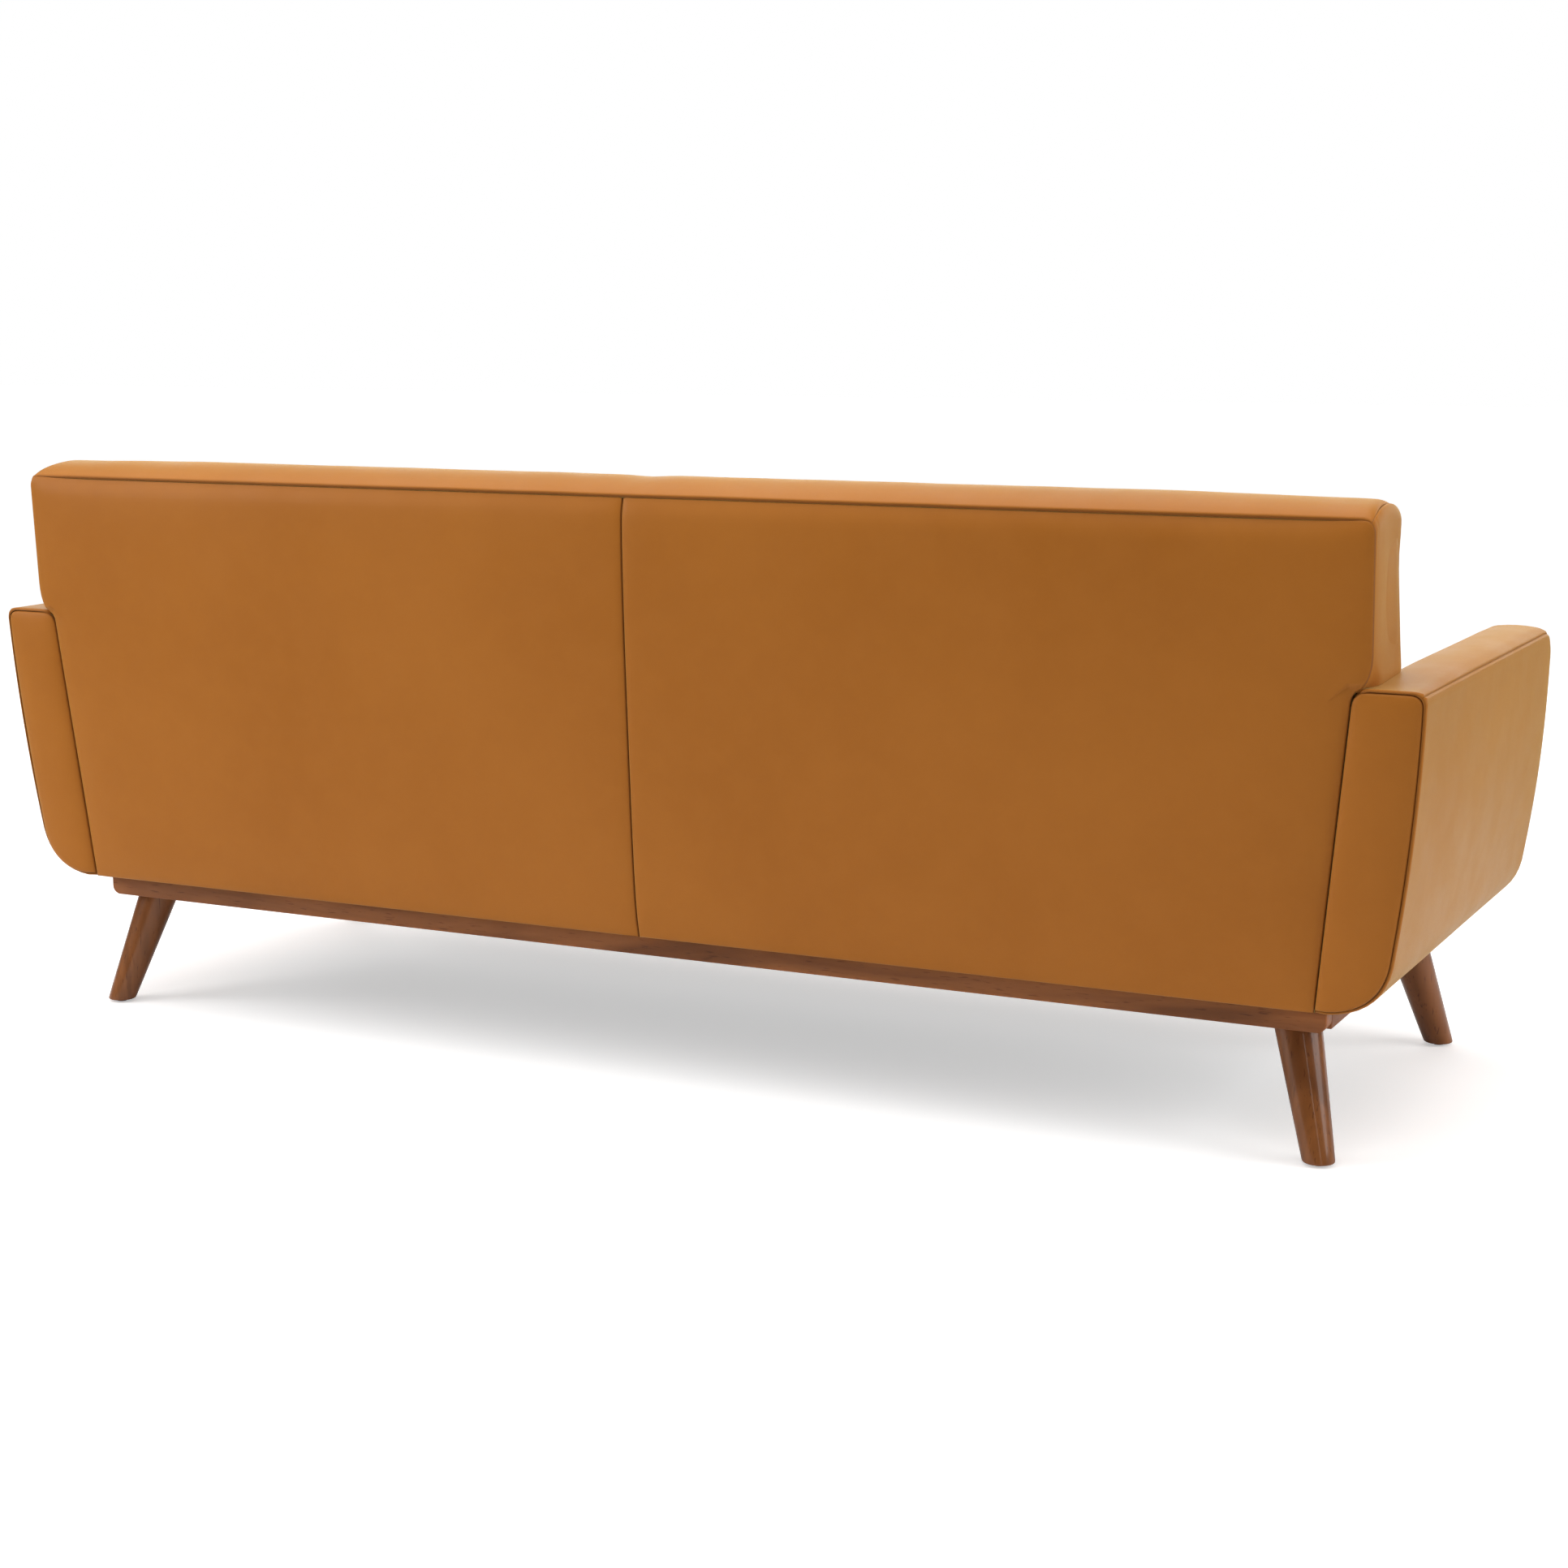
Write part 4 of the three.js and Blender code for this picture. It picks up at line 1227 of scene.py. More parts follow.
        def height(spot: Vector, column: ArmColumn, row: ArmRow) -> float:
            """How far the padding lifts the leather at a point.

            Args:
                spot: The point.
                column: The column.
                row: The row.

            Returns:
                The travel along the surface's normal.
            """
            share, angle, inset, _ = row
            if inset > 0.0:
                return 0.0
            run, along = column
            room = (1.0 - angle / QUARTER_TURN) * smoothstep(0.0, 0.35, share) \
                * (1.0 - 0.25 * smoothstep(0.85, 1.0, share))
            rise = 0.0
            if run in (ArmRun.INNER_CORNER, ArmRun.TOP, ArmRun.OUTER_CORNER):
                across = 2.0 * (spot.x - lines.inner(spot.z)) / self.width - 1.0
                rise = self.crown * room * max(0.0, 1.0 - across * across)
            elif run in (ArmRun.INNER, ArmRun.OUTER):
                rise = self.swell * room * math.sin(math.pi * along) ** 2
            near = seam_distance(column)
            rise += self.ridge * math.exp(-((near - self.ridge_place) / self.ridge_reach) ** 2)
            rise -= self.groove * math.exp(-(near / self.groove_reach) ** 2)
            return rise + smoothstep(0.0, 0.1, share) * self.wave * ripple(spot, 0.30, 3.0)

        loft = Loft(self._columns(), self._rows(), place)
        waist = (lines.bottom + lines.arm_top) / 2.0
        loft.face_away_from(Vector((lines.inner(waist) + self.width / 2.0, 0.0, waist)))
        loft.pad(height, painted_shade_distance)
        return loft.weld_and_cap()

    def _rear_facing(self) -> bmesh.types.BMesh:
        """The leather over the arm's rear end.

        Returns:
            The mesh.
        """
        inset = self.rim + self.facing_gap
        outline = self.section(self.lines.arm_top, inset, SEAM_GAP)
        panel = FlatPanel(outline.points(), roll=self.facing_roll, crown=0.0022,
                          crown_reach=0.006, ring_reach=self.facing_rings, pitch=0.012)

        def fuller(x: float, z: float) -> float:
            """How far the padding lifts the facing's middle.

            Args:
                x: How far the point is from the middle.
                z: The point's height.

            Returns:
                The lift.
            """
            side = self.width / 2.0 - abs(x - self.lines.inner(z) - self.width / 2.0)
            full = self.full
            for room, reach in zip((self.lines.arm_top - z, side), self.full_reach):
                full *= 1.0 - math.exp(-max(0.0, room) / reach)
            return full

        mesh = panel.build(fuller)
        return shift(mesh, lambda p: Vector(
            (p.x, p.y + self.lines.rear(p.z) + self.rear_proud, p.z)))

    def _front_facing(self) -> bmesh.types.BMesh:
        """The leather over the arm's front end.

        Returns:
            The mesh.
        """
        inset = self.rim + self.facing_gap
        top = self.lines.arm_top - self.nose
        outline = self.section(top, inset, inset)
        panel = FlatPanel(outline.points(), roll=self.facing_roll, crown=0.004,
                          crown_reach=0.010, ring_reach=self.facing_rings)
        mesh = mirror(panel.build(), (1.0, -1.0, 1.0))
        return shift(mesh, lambda p: Vector(
            (p.x, p.y + self.lines.arm_front(p.z) - self.front_proud, p.z)))


# ---- Back --------------------------------------------------------------------------------
class EdgeRun(IntEnum):
    """The runs of the bands' line, from the left ear's underside to the middle."""

    EAR = 0
    END = 1
    CORNER = 2
    TOP = 3


@dataclass(frozen=True)
class Back:
    """The leather over the rear, top and ends of the back."""

    lines: ShellLines
    corner: float = 0.018
    crown_corner: float = 0.024
    ear_rise: float = 0.044
    arm_edge: float = 0.021
    ear_round: float = 0.026
    ear_lean: float = 0.011
    ear_sink: float = 0.014
    ear_settle: float = 0.040
    ridge_depth: float = 0.086
    roll: float = 0.0026
    edge_start: float = 0.0026
    pitch: float = 0.016
    rows: int = 16
    full: float = 0.0100
    full_reach: tuple[float, float, float] = (0.085, 0.05, 0.04)
    turn: float = 0.0048
    turn_reach: float = 0.017
    turn_fade: float = 0.035
    turn_steps: int = 12
    wave: float = 0.0009
    proud: float = 0.0012
    puff: float = 0.0022
    puff_reach: float = 0.014
    mitre_roll: float = 0.0032
    mitre_dip: float = 0.0012
    mitre_reach: float = 0.012
    # How much weaker the painted shade is along the mitred corner seam.
    mitre_shade_offset: float = 0.0010
    band_wave: float = 0.0006
    middle_dip: float = 0.0022
    middle_reach: float = 0.030
    end_dip: float = 0.0030
    fold: float = 0.0014
    fold_width: float = 0.0028
    fold_reach: float = 0.026
    fold_places: Point = (0.008, 0.017)
    bulge: float = 0.002
    bulge_place: float = 0.026
    bulge_reach: float = 0.016
    waist: float = 0.002
    slim: float = 0.0035

    @property
    def neck(self) -> float:
        """The height where the back's ears start, just over the arms."""
        return self.lines.arm_top + self.lines.ear_lift

    def top_at(self, depth: float) -> float:
        """The height of the back's top at a depth from the rear plane.

        Args:
            depth: The distance from the rear plane.

        Returns:
            The height.
        """
        lines = self.lines
        if depth < self.ridge_depth:
            rest = 1.0 - depth / self.ridge_depth
            return lines.crown - (lines.crown - lines.seam_top) * rest * rest
        past = (depth - self.ridge_depth) / (lines.top_depth - self.ridge_depth)
        return lines.crown - lines.crown_fall * past * past

    def edge_path(self, depth: float) -> Outline:
        """The band's line from the left ear's underside over the corner to the middle.

        Args:
            depth: The distance from the rear plane, measured at the top.

        Returns:
            A path with the runs of EdgeRun.
        """
        lines = self.lines
        top = self.top_at(depth)
        share = min(1.0, depth / self.ridge_depth)
        radius = mix(self.corner, self.crown_corner, share)
        deep = smoothstep(0.0, self.ear_settle, depth)
        notch = self._notch()[2]
        half, sunk = lines.half, self.neck - self.ear_sink
        path = Outline(notch[0], mix(notch[1], sunk, deep))
        path.curve_to((half, mix(notch[1] + self.ear_lean, sunk, deep)), half,
                      mix(self.neck + self.ear_rise, sunk + self.ear_round, deep))
        path.line_to(half, top - radius)
        path.curve_to((half, top), half - radius, top)
        path.line_to(0.0, top)
        return path

    def build(self, finishes: Finishes) -> None:
        """Makes the rear panels and the bands.

        Args:
            finishes: The sofa's finishes.
        """
        covers = []
        for side in Side:
            covers += [(f"back_rear_panel_{side.word}", on_side(self._rear_panel(), side)),
                       (f"back_side_band_{side.word}", on_side(self._side_band(), side))]
        for node, mesh in covers + [("back_top_band", self._top_band())]:
            piece = add_piece(f"{node}_leather", mesh, finishes.leather, nodes=[node])

    def _rear_panel(self) -> bmesh.types.BMesh:
        """The left rear panel, from the centre seam to the arm and the ear.

        Returns:
            The mesh.
        """
        lines, half, neck, top = self.lines, self.lines.half, self.neck, self.lines.seam_top
        low = lines.bottom

        first, aim, notch = self._notch()
        outline = Outline(SEAM_GAP, low)
        outline.line_to(lines.inner(low) - SEAM_GAP, low)
        outline.line_to(*first)
        outline.curve_to(aim, *notch)
        outline.curve_to((half, notch[1] + self.ear_lean), half, neck + self.ear_rise)
        outline.line_to(half, top - self.corner)
        outline.curve_to((half, top), half - self.corner, top)
        outline.line_to(SEAM_GAP, top)
        outline.line_to(SEAM_GAP, low)

        def relief(x: float, z: float) -> float:
            """How far the padding lifts the panel at a point.

            Args:
                x: How far the point is from the middle.
                z: The point's height.

            Returns:
                The lift.
            """
            side = (lines.inner(z) - SEAM_GAP if z < neck else half) - x
            turned = self.turn * math.exp(-((top - z) / self.turn_reach) ** 2)
            turned *= 1.0 - math.exp(-max(0.0, side) / self.turn_fade)
            full = self.full
            for room, reach in zip((top - z, z - low, side), self.full_reach):
                full *= 1.0 - math.exp(-max(0.0, room) / reach)
            near = smoothstep(0.0, 0.08, min(x, top - z, z - low))
            wave = self.wave * near * ripple(Vector((x, 0.0, z)), 0.24, 5.0)
            return wave - turned + full

        rows = [self.turn_reach * i / 3.0 for i in range(2, self.turn_steps)]
        panel = FlatPanel(outline.points(), roll=0.0022, crown=0.0032, crown_reach=0.0075,
                          extra_rows=rows)
        return shift(panel.build(relief),
                     lambda p: Vector((p.x, p.y + lines.rear(p.z) + self.proud, p.z)))

    def _notch(self) -> tuple[Point, Point, Point]:
        """The curve around the inner half of the arm facing's top corner: start, aim and end.

        Returns:
            The three points.
        """
        lines = self.lines
        turn = lines.arm_top - self.arm_edge
        first = Vector((lines.inner(turn) - SEAM_GAP, turn))
        corner = Vector((lines.inner(lines.arm_top) - SEAM_GAP, lines.arm_top))
        last = corner + Vector((self.arm_edge, 0.0))
        aim = (first + corner) / 2.0
        end = (first + corner * 2.0 + last) / 4.0
        return tuple(first), tuple(aim), tuple(end)

    def _rows(self) -> list[float]:
        """Shares of the depth from the rear seam to the front seam.

        Returns:
            The shares.
        """
        depth = self.lines.top_depth
        start = self.edge_start / depth
        return [mix(start, 1.0, share) for share in spread(depth, depth / self.rows, True, True)]

    def _place(self, column: tuple[int, float], row: float) -> Vector:
        """A point of the band, before it is padded."""
        x, z = self.edge_path(row * self.lines.top_depth).at(*column)
        return Vector((x, self.lines.rear(z) - row * self.lines.depth(z), z))

    def _padding(self, spot: Vector, row: float, mitre: float) -> float:
        """How far the band swells or dips at a point.

        Args:
            spot: The point.
            row: The share of the depth.
            mitre: The distance to the mitred corner seam.

        Returns:
            The travel along the surface's normal.
        """
        depth = self.lines.depth(spot.z)
        ends = min(row * depth - self.edge_start, (1.0 - row) * depth)
        puff = self.puff * (1.0 - math.exp(-max(0.0, ends) / self.puff_reach))
        sewn = mix(0.25, 1.0, smoothstep(0.05, 0.55, row))
        dip = rolled(mitre, self.mitre_roll) + self.mitre_dip * math.exp(-mitre / self.mitre_reach)
        wave = self.band_wave * ripple(spot, 0.09, 7.0)
        return puff - rolled(ends, self.roll) - dip * sewn + wave

    def _band(self, columns: Sequence, place: Callable[..., Vector],
              mitre: Callable[..., float], extra: Callable[..., float]) -> bmesh.types.BMesh:
        """A padded band from the rear seam to the front seam.

        Args:
            columns: What tells each column apart.
            place: Gives the place for (column, row), before it is padded.
            mitre: Gives a column's distance to the mitred corner seam.
            extra: Gives a further travel for (place, column, row).

        Returns:
            The band.
        """
        loft = Loft(columns, self._rows(), place)
        loft.face_away_from(Vector((0.0, self.lines.rear(self.neck), self.neck)))
        # Painted shade along the band's two long seams and its mitred corner seam, weaker at the
        # mitre.
        loft.pad(lambda spot, column, row: self._padding(spot, row, mitre(column))
                 + extra(spot, column, row),
                 lambda column, row: min(self._edge_distance(row), mitre(column) + self.mitre_shade_offset))
        return loft.thicken(LEATHER)

    def _top_band(self) -> bmesh.types.BMesh:
        """The band over the top, between the two mitred corners.

        Returns:
            The mesh.
        """
        path = self.edge_path(0.0)
        corner, top = path.length(EdgeRun.CORNER), path.length(EdgeRun.TOP)
        half = [(EdgeRun.CORNER, 0.5 + share / 2.0)
                for share in spread(corner / 2.0, corner / 12.0, True)]
        half += [(EdgeRun.TOP, share) for share in spread(top, self.pitch)[1:]]
        columns = [(run, share, 1.0) for run, share in half]
        columns += [(run, share, -1.0) for run, share in reversed(half[:-1])]

        def place(column: tuple[EdgeRun, float, float], row: float) -> Vector:
            """A point of the band, mirrored in its right half."""
            spot = self._place(column[:2], row)
            return Vector((spot.x * column[2], spot.y, spot.z))

        def mitre(column: tuple[EdgeRun, float, float]) -> float:
            """The distance to the nearer mitred corner."""
            run, share, _ = column
            return (share - 0.5) * corner if run is EdgeRun.CORNER else corner / 2.0 + share * top

        return self._band(columns, place, mitre, lambda spot, _, row: self._top_wave(spot, row))

    def _top_wave(self, spot: Vector, row: float) -> float:
        """The slight rise and dip of the top along its length, where the two halves meet.

        Args:
            spot: The point.
            row: The share of the depth.

        Returns:
            The travel along the surface's normal.
        """
        low = self.middle_dip * math.exp(-(spot.x / self.middle_reach) ** 2)
        ends = self.end_dip * smoothstep(0.72, 1.0, abs(spot.x) / self.lines.half)
        return -(low + ends) * smoothstep(0.05, 0.5, row)

    def _edge_distance(self, row: float) -> float:
        """The distance to the nearest of the band's two long seams, plus a third of the painted
        shade's reach, which sets the painted shade.
        """
        depth = self.lines.top_depth
        return min(row * depth - self.edge_start, (1.0 - row) * depth) + PAINTED_SHADE_REACH / 3.0

    def _side_band(self) -> bmesh.types.BMesh:
        """The band down the left end, from the mitred corner to the ear's underside.

        Returns:
            The mesh.
        """
        path = self.edge_path(0.0)
        ear, end, corner = (path.length(run)
                            for run in (EdgeRun.EAR, EdgeRun.END, EdgeRun.CORNER))
        columns = [(EdgeRun.EAR, share) for share in spread(ear, ear / 14.0)]
        columns += [(EdgeRun.END, share) for share in spread(end, self.pitch)[1:]]
        columns += [(EdgeRun.CORNER, share / 2.0)
                    for share in spread(corner / 2.0, corner / 12.0, end=True)[1:]]

        def mitre(column: tuple[EdgeRun, float]) -> float:
            """The distance along the band to the mitred corner.

            Args:
                column: The column.

            Returns:
                The distance.
            """
            run, share = column
            if run is EdgeRun.CORNER:
                return (0.5 - share) * corner
            rest = (1.0 - share) * end if run is EdgeRun.END else end + (1.0 - share) * ear
            return corner / 2.0 + rest

        def pucker(spot: Vector, column: tuple[EdgeRun, float], row: float) -> float:
            """Two short folds beside the rear corner, and a fuller upper part.

            Args:
                spot: The point.
                column: The column.
                row: The row.

            Returns:
                The travel along the surface's normal.
            """
            away = mitre(column)
            back = row * self.lines.depth(spot.z)
            folds = sum(math.exp(-((back - place) / self.fold_width) ** 2)
                        for place in self.fold_places)
            full = self.bulge * math.exp(-((away - self.bulge_place) / self.bulge_reach) ** 2)
            full -= self.waist * math.sin(math.pi * min(1.0, away / (end + corner)))
            full -= self.slim * smoothstep(0.0, 0.03, away)
            return (self.fold * math.exp(-away / self.fold_reach) * folds
                    + full * smoothstep(0.0, 0.85, row))

        return self._band(columns, self._place, mitre, pucker)


# ---- Filled cushions ---------------------------------------------------------------------
@dataclass(frozen=True)
class Filling:
    """Swells a closed cover from inside by a cloth simulation."""

    cap: float
    bending: float
    pressure: float = 4.0
    frames: int = 20
    stiffness: float = 18.0
    shear: float = 8.0
    mass: float = 0.25
    quality: int = 6

    def swell(self, piece: bpy.types.Object, held: Sequence[int],
              limit: Callable[[Vector, Vector], Vector],
              stand_in: Callable[[Vector], Vector]) -> None:
        """Fills a cover, keeps its new shape and smooths it by one level of subdivision.

        Args:
            piece: The cover, which is changed.
            held: The vertices that are sewn down.
            limit: Gives the kept place for (start, filled place).
            stand_in: Not used.
        """
        start = [v.co.copy() for v in piece.data.vertices]
        filled = self._simulate(piece, held)
        furthest = 0.0
        for vert, first, last in zip(piece.data.vertices, start, filled):
            travel = last - first
            if travel.length > self.cap:
                last = first + travel.normalized() * self.cap
            vert.co = limit(first, last)
            furthest = max(furthest, (vert.co - first).length)
        piece.data.update()
        LOG.info("%s: filled by up to %.4f m", piece.name, furthest)
        subdivision = piece.modifiers.new("smooth", "SUBSURF")
        subdivision.levels = subdivision.render_levels = 1

    def _simulate(self, piece: bpy.types.Object, held: Sequence[int]) -> list[Vector]:
        """Runs the cloth.

        Args:
            piece: The cover.
            held: The vertices that stay where they are.

        Returns:
            Where the vertices end.
        """
        group = piece.vertex_groups.new(name="held")
        group.add(list(held), 1.0, "REPLACE")
        modifier = piece.modifiers.new("filling", "CLOTH")
        cloth = modifier.settings
        cloth.quality = self.quality
        cloth.mass = self.mass
        cloth.tension_stiffness = cloth.compression_stiffness = self.stiffness
        cloth.shear_stiffness = self.shear
        cloth.bending_stiffness = self.bending
        cloth.use_pressure = True
        cloth.uniform_pressure_force = self.pressure
        cloth.effector_weights.gravity = 0.0
        cloth.vertex_group_mass = group.name
        cloth.pin_stiffness = 1.0
        modifier.collision_settings.use_collision = False
        modifier.point_cache.frame_start = 1
        modifier.point_cache.frame_end = self.frames
        scene = bpy.context.scene
        for moment in range(1, self.frames + 1):
            scene.frame_set(moment)
        graph = bpy.context.evaluated_depsgraph_get()
        shaped = piece.evaluated_get(graph).data
        filled = [v.co.copy() for v in shaped.vertices]
        piece.modifiers.remove(modifier)
        piece.vertex_groups.remove(group)
        scene.frame_set(1)
        return filled


@dataclass(frozen=True)
class SeatCushion:
    """A loose seat cushion: a filled leather box with a welt around its top and bottom edges."""

    cell: float = 0.016
    upright: float = 0.034
    edge: float = 0.012
    inset: float = 0.004
    crown: float = 0.020
    front_room: float = 0.008
    bending: float = 1.5
    turn_in: float = 0.35
    welt: float = 0.0032
    welt_lift: float = 0.006
    welt_steps: int = 8
    welt_pitch: float = 0.02

    def build(self, side: Side, finishes: Finishes) -> None:
        """Makes one cushion with its welts.

        Args:
            side: The side that it stands on.
            finishes: The sofa's finishes.
        """
        low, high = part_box("seat_cushion_cover_left")
        body = f"cushion_{side.word}"
        nodes = [f"seat_cushion_cover_{side.word}", f"seat_cushion_core_{side.word}"]
        mesh = on_side(self._box(low, high), side)
        piece = add_piece(f"seat_cushion_{side.word}", mesh, finishes.leather, body, nodes)
        middle, half = (low + high) / 2.0, (high - low) / 2.0
        middle.x *= side.value

        def limit(_: Vector, last: Vector) -> Vector:
            """A filled place, kept inside the cushion's box but for its top and a fuller front.

            Args:
                _: Where the point was.
                last: Where the filling took it.

            Returns:
                The kept place.
            """
            spot = last - middle
            spot.x = max(-half.x, min(half.x, spot.x))
            spot.y = max(-half.y - self.front_room, min(half.y, spot.y))
            spot.z = max(-half.z, spot.z)
            return middle + spot

        def stand_in(first: Vector) -> Vector:
            """A place on a plain crowned top.

            Args:
                first: Where the point was.

            Returns:
                The place.
            """
            spot = first - middle
            share = [1.0 - min(1.0, abs(spot[i]) / half[i]) ** 2.6 for i in (0, 1)]
            return first + Z_AXIS * (self.crown * share[0] * share[1] if spot.z > 0 else 0.0)

        held = self._sewn(piece, low.z, high.z - self.inset)
        Filling(cap=self.crown, bending=self.bending).swell(piece, held, limit, stand_in)
        self._welts(piece, low, high, side, finishes, body)

    def _box(self, low: Vector, high: Vector) -> bmesh.types.BMesh:
        """The unfilled cover: a box with rounded upright corners and soft edges.

        Args:
            low: The box's lowest corner.
            high: The box's highest corner.

        Returns:
            The mesh.
        """
        low, high = low + Vector((1, 1, 0)) * self.inset, high - Vector((1, 0, 1)) * self.inset
        counts = [max(2, round(size / self.cell)) for size in high - low]
        mesh = lattice(list(zip(low, high)), counts)
        middle, half = (low + high) / 2.0, (high - low) / 2.0

        def soften(place: Vector) -> Vector:
            """A point of the box, moved onto the rounded corners and turned-in edges.

            Args:
                place: The point.

            Returns:
                The place.
            """
            spot = place - middle
            core = Vector((half.x - self.upright, half.y - self.upright))
            out = Vector((max(0.0, abs(spot.x) - core.x), max(0.0, abs(spot.y) - core.y)))
            if out.length > TOUCHING:
                out *= max(out) / out.length
                for i in (0, 1):
                    if abs(spot[i]) > core[i]:
                        spot[i] = math.copysign(core[i] + out[i], spot[i])
            over = abs(spot.z) - (half.z - self.edge)
            if over > 0.0:
                rim = max(abs(spot.x) / half.x, abs(spot.y) / half.y)
                pull = self._pull_in(over) * smoothstep(0.9, 1.0, rim)
                spot.x -= math.copysign(pull, spot.x)
                spot.y -= math.copysign(pull, spot.y)
            return middle + spot

        return shift(mesh, soften)

    def _pull_in(self, height: float) -> float:
        """How far the side has turned in at a height over its straight part."""
        return self.turn_in * (self.edge - math.sqrt(max(0.0, self.edge ** 2 - height ** 2)))

    def _sewn(self, piece: bpy.types.Object, bottom: float, top: float) -> list[int]:
        """The vertices that the filling leaves alone.

        Args:
            piece: The cover.
            bottom: The height of its underside, which rests on the deck and is held.
            top: The height of its upper face, whose rim is held.

        Returns:
            The vertices' indexes.
        """
        verts = piece.data.vertices
        held = [v.index for v in verts if v.co.z < bottom + LEVEL]
        inside: Counter[int] = Counter()
        around: Counter[int] = Counter()
        for polygon in piece.data.polygons:
            around.update(polygon.vertices)
            if all(abs(verts[v].co.z - top) < LEVEL for v in polygon.vertices):
                inside.update(polygon.vertices)
        return held + [v for v, count in inside.items() if count < around[v]]

    def _welts(self, piece: bpy.types.Object, low: Vector, high: Vector, side: Side,
               finishes: Finishes, body: str) -> None:
        """Lays welts along the top and bottom edges of the filled cover.

        Args:
            piece: The filled cover.
            low: The lowest corner of the left cushion's box.
            high: The highest corner of the left cushion's box.
            side: The cushion's side.
            finishes: The sofa's finishes.
            body: The body that the cushion moves with.
        """
        tree = BVHTree.FromPolygons([v.co for v in piece.data.vertices],
                                    [tuple(p.vertices) for p in piece.data.polygons])
        for name, level in (("top", high.z - self.inset), ("bottom", low.z + self.welt_lift)):
            snapped = []
            for spot in self._loop(low, high, side, level):
                near, normal, _, _ = tree.find_nearest(spot)
                snapped.append(near + normal * self.welt * 0.25)
            add_piece(f"seat_cushion_{name}_welt_{side.word}", tube(snapped, self.welt),
                      finishes.leather, body)

    def _loop(self, low: Vector, high: Vector, side: Side, level: float) -> list[Vector]:
        """A rounded rectangle just inside the cushion's edge.

        Args:
            low: The lowest corner of the left cushion's box.
            high: The highest corner of the left cushion's box.
            side: The cushion's side.
            level: The height of the loop.

        Returns:
            Its points in order.
        """
        x0, x1, y0, y1 = low.x + self.inset, high.x - self.inset, low.y + self.inset, high.y
        centre = Vector(((x0 + x1) / 2.0 * side.value, (y0 + y1) / 2.0, level))
        half = Vector(((x1 - x0) / 2.0 - self.upright, (y1 - y0) / 2.0 - self.upright))

        def corner(index: int, turn: float) -> Vector:
            """The point on one of the corners at a turn, in quarters.

            Args:
                index: The corner's index.
                turn: The turn.

            Returns:
                The point.
            """
            sign_x, sign_y = ((1, 1), (-1, 1), (-1, -1), (1, -1))[index % 4]
            angle = QUARTER_TURN * turn
            return centre + Vector((sign_x * half.x + self.upright * math.cos(angle),
                                    sign_y * half.y + self.upright * math.sin(angle), 0.0))

        loop = []
        for i in range(4):
            loop += [corner(i, i + step / self.welt_steps) for step in range(self.welt_steps + 1)]
            first, last = loop[-1], corner(i + 1, i + 1)
            count = max(2, round((last - first).length / self.welt_pitch))
            loop += [first.lerp(last, k / count) for k in range(1, count)]
        return loop


def tube(path: Sequence[Vector], radius: float) -> bmesh.types.BMesh:
    """A round welt along a closed path.

    Args:
        path: The points that it follows.
        radius: Half its thickness.

    Returns:
        The welt.
    """
    curve = bpy.data.curves.new("welt_path", "CURVE")
    curve.dimensions = "3D"
    curve.bevel_depth = radius
    curve.bevel_resolution = 2
    spline = curve.splines.new("POLY")
    spline.points.add(len(path) - 1)
    for point, place in zip(spline.points, path):
        point.co = (*place, 1.0)
    spline.use_cyclic_u = True
    holder = in_scene("welt_path", curve)
    data = bpy.data.meshes.new_from_object(holder)
    mesh = bmesh.new()
    mesh.from_mesh(data)
    bpy.data.objects.remove(holder)
    bpy.data.curves.remove(curve)
    bpy.data.meshes.remove(data)
    bmesh.ops.remove_doubles(mesh, verts=mesh.verts[:], dist=TOUCHING)
    bmesh.ops.recalc_face_normals(mesh, faces=mesh.faces[:])
    return mesh


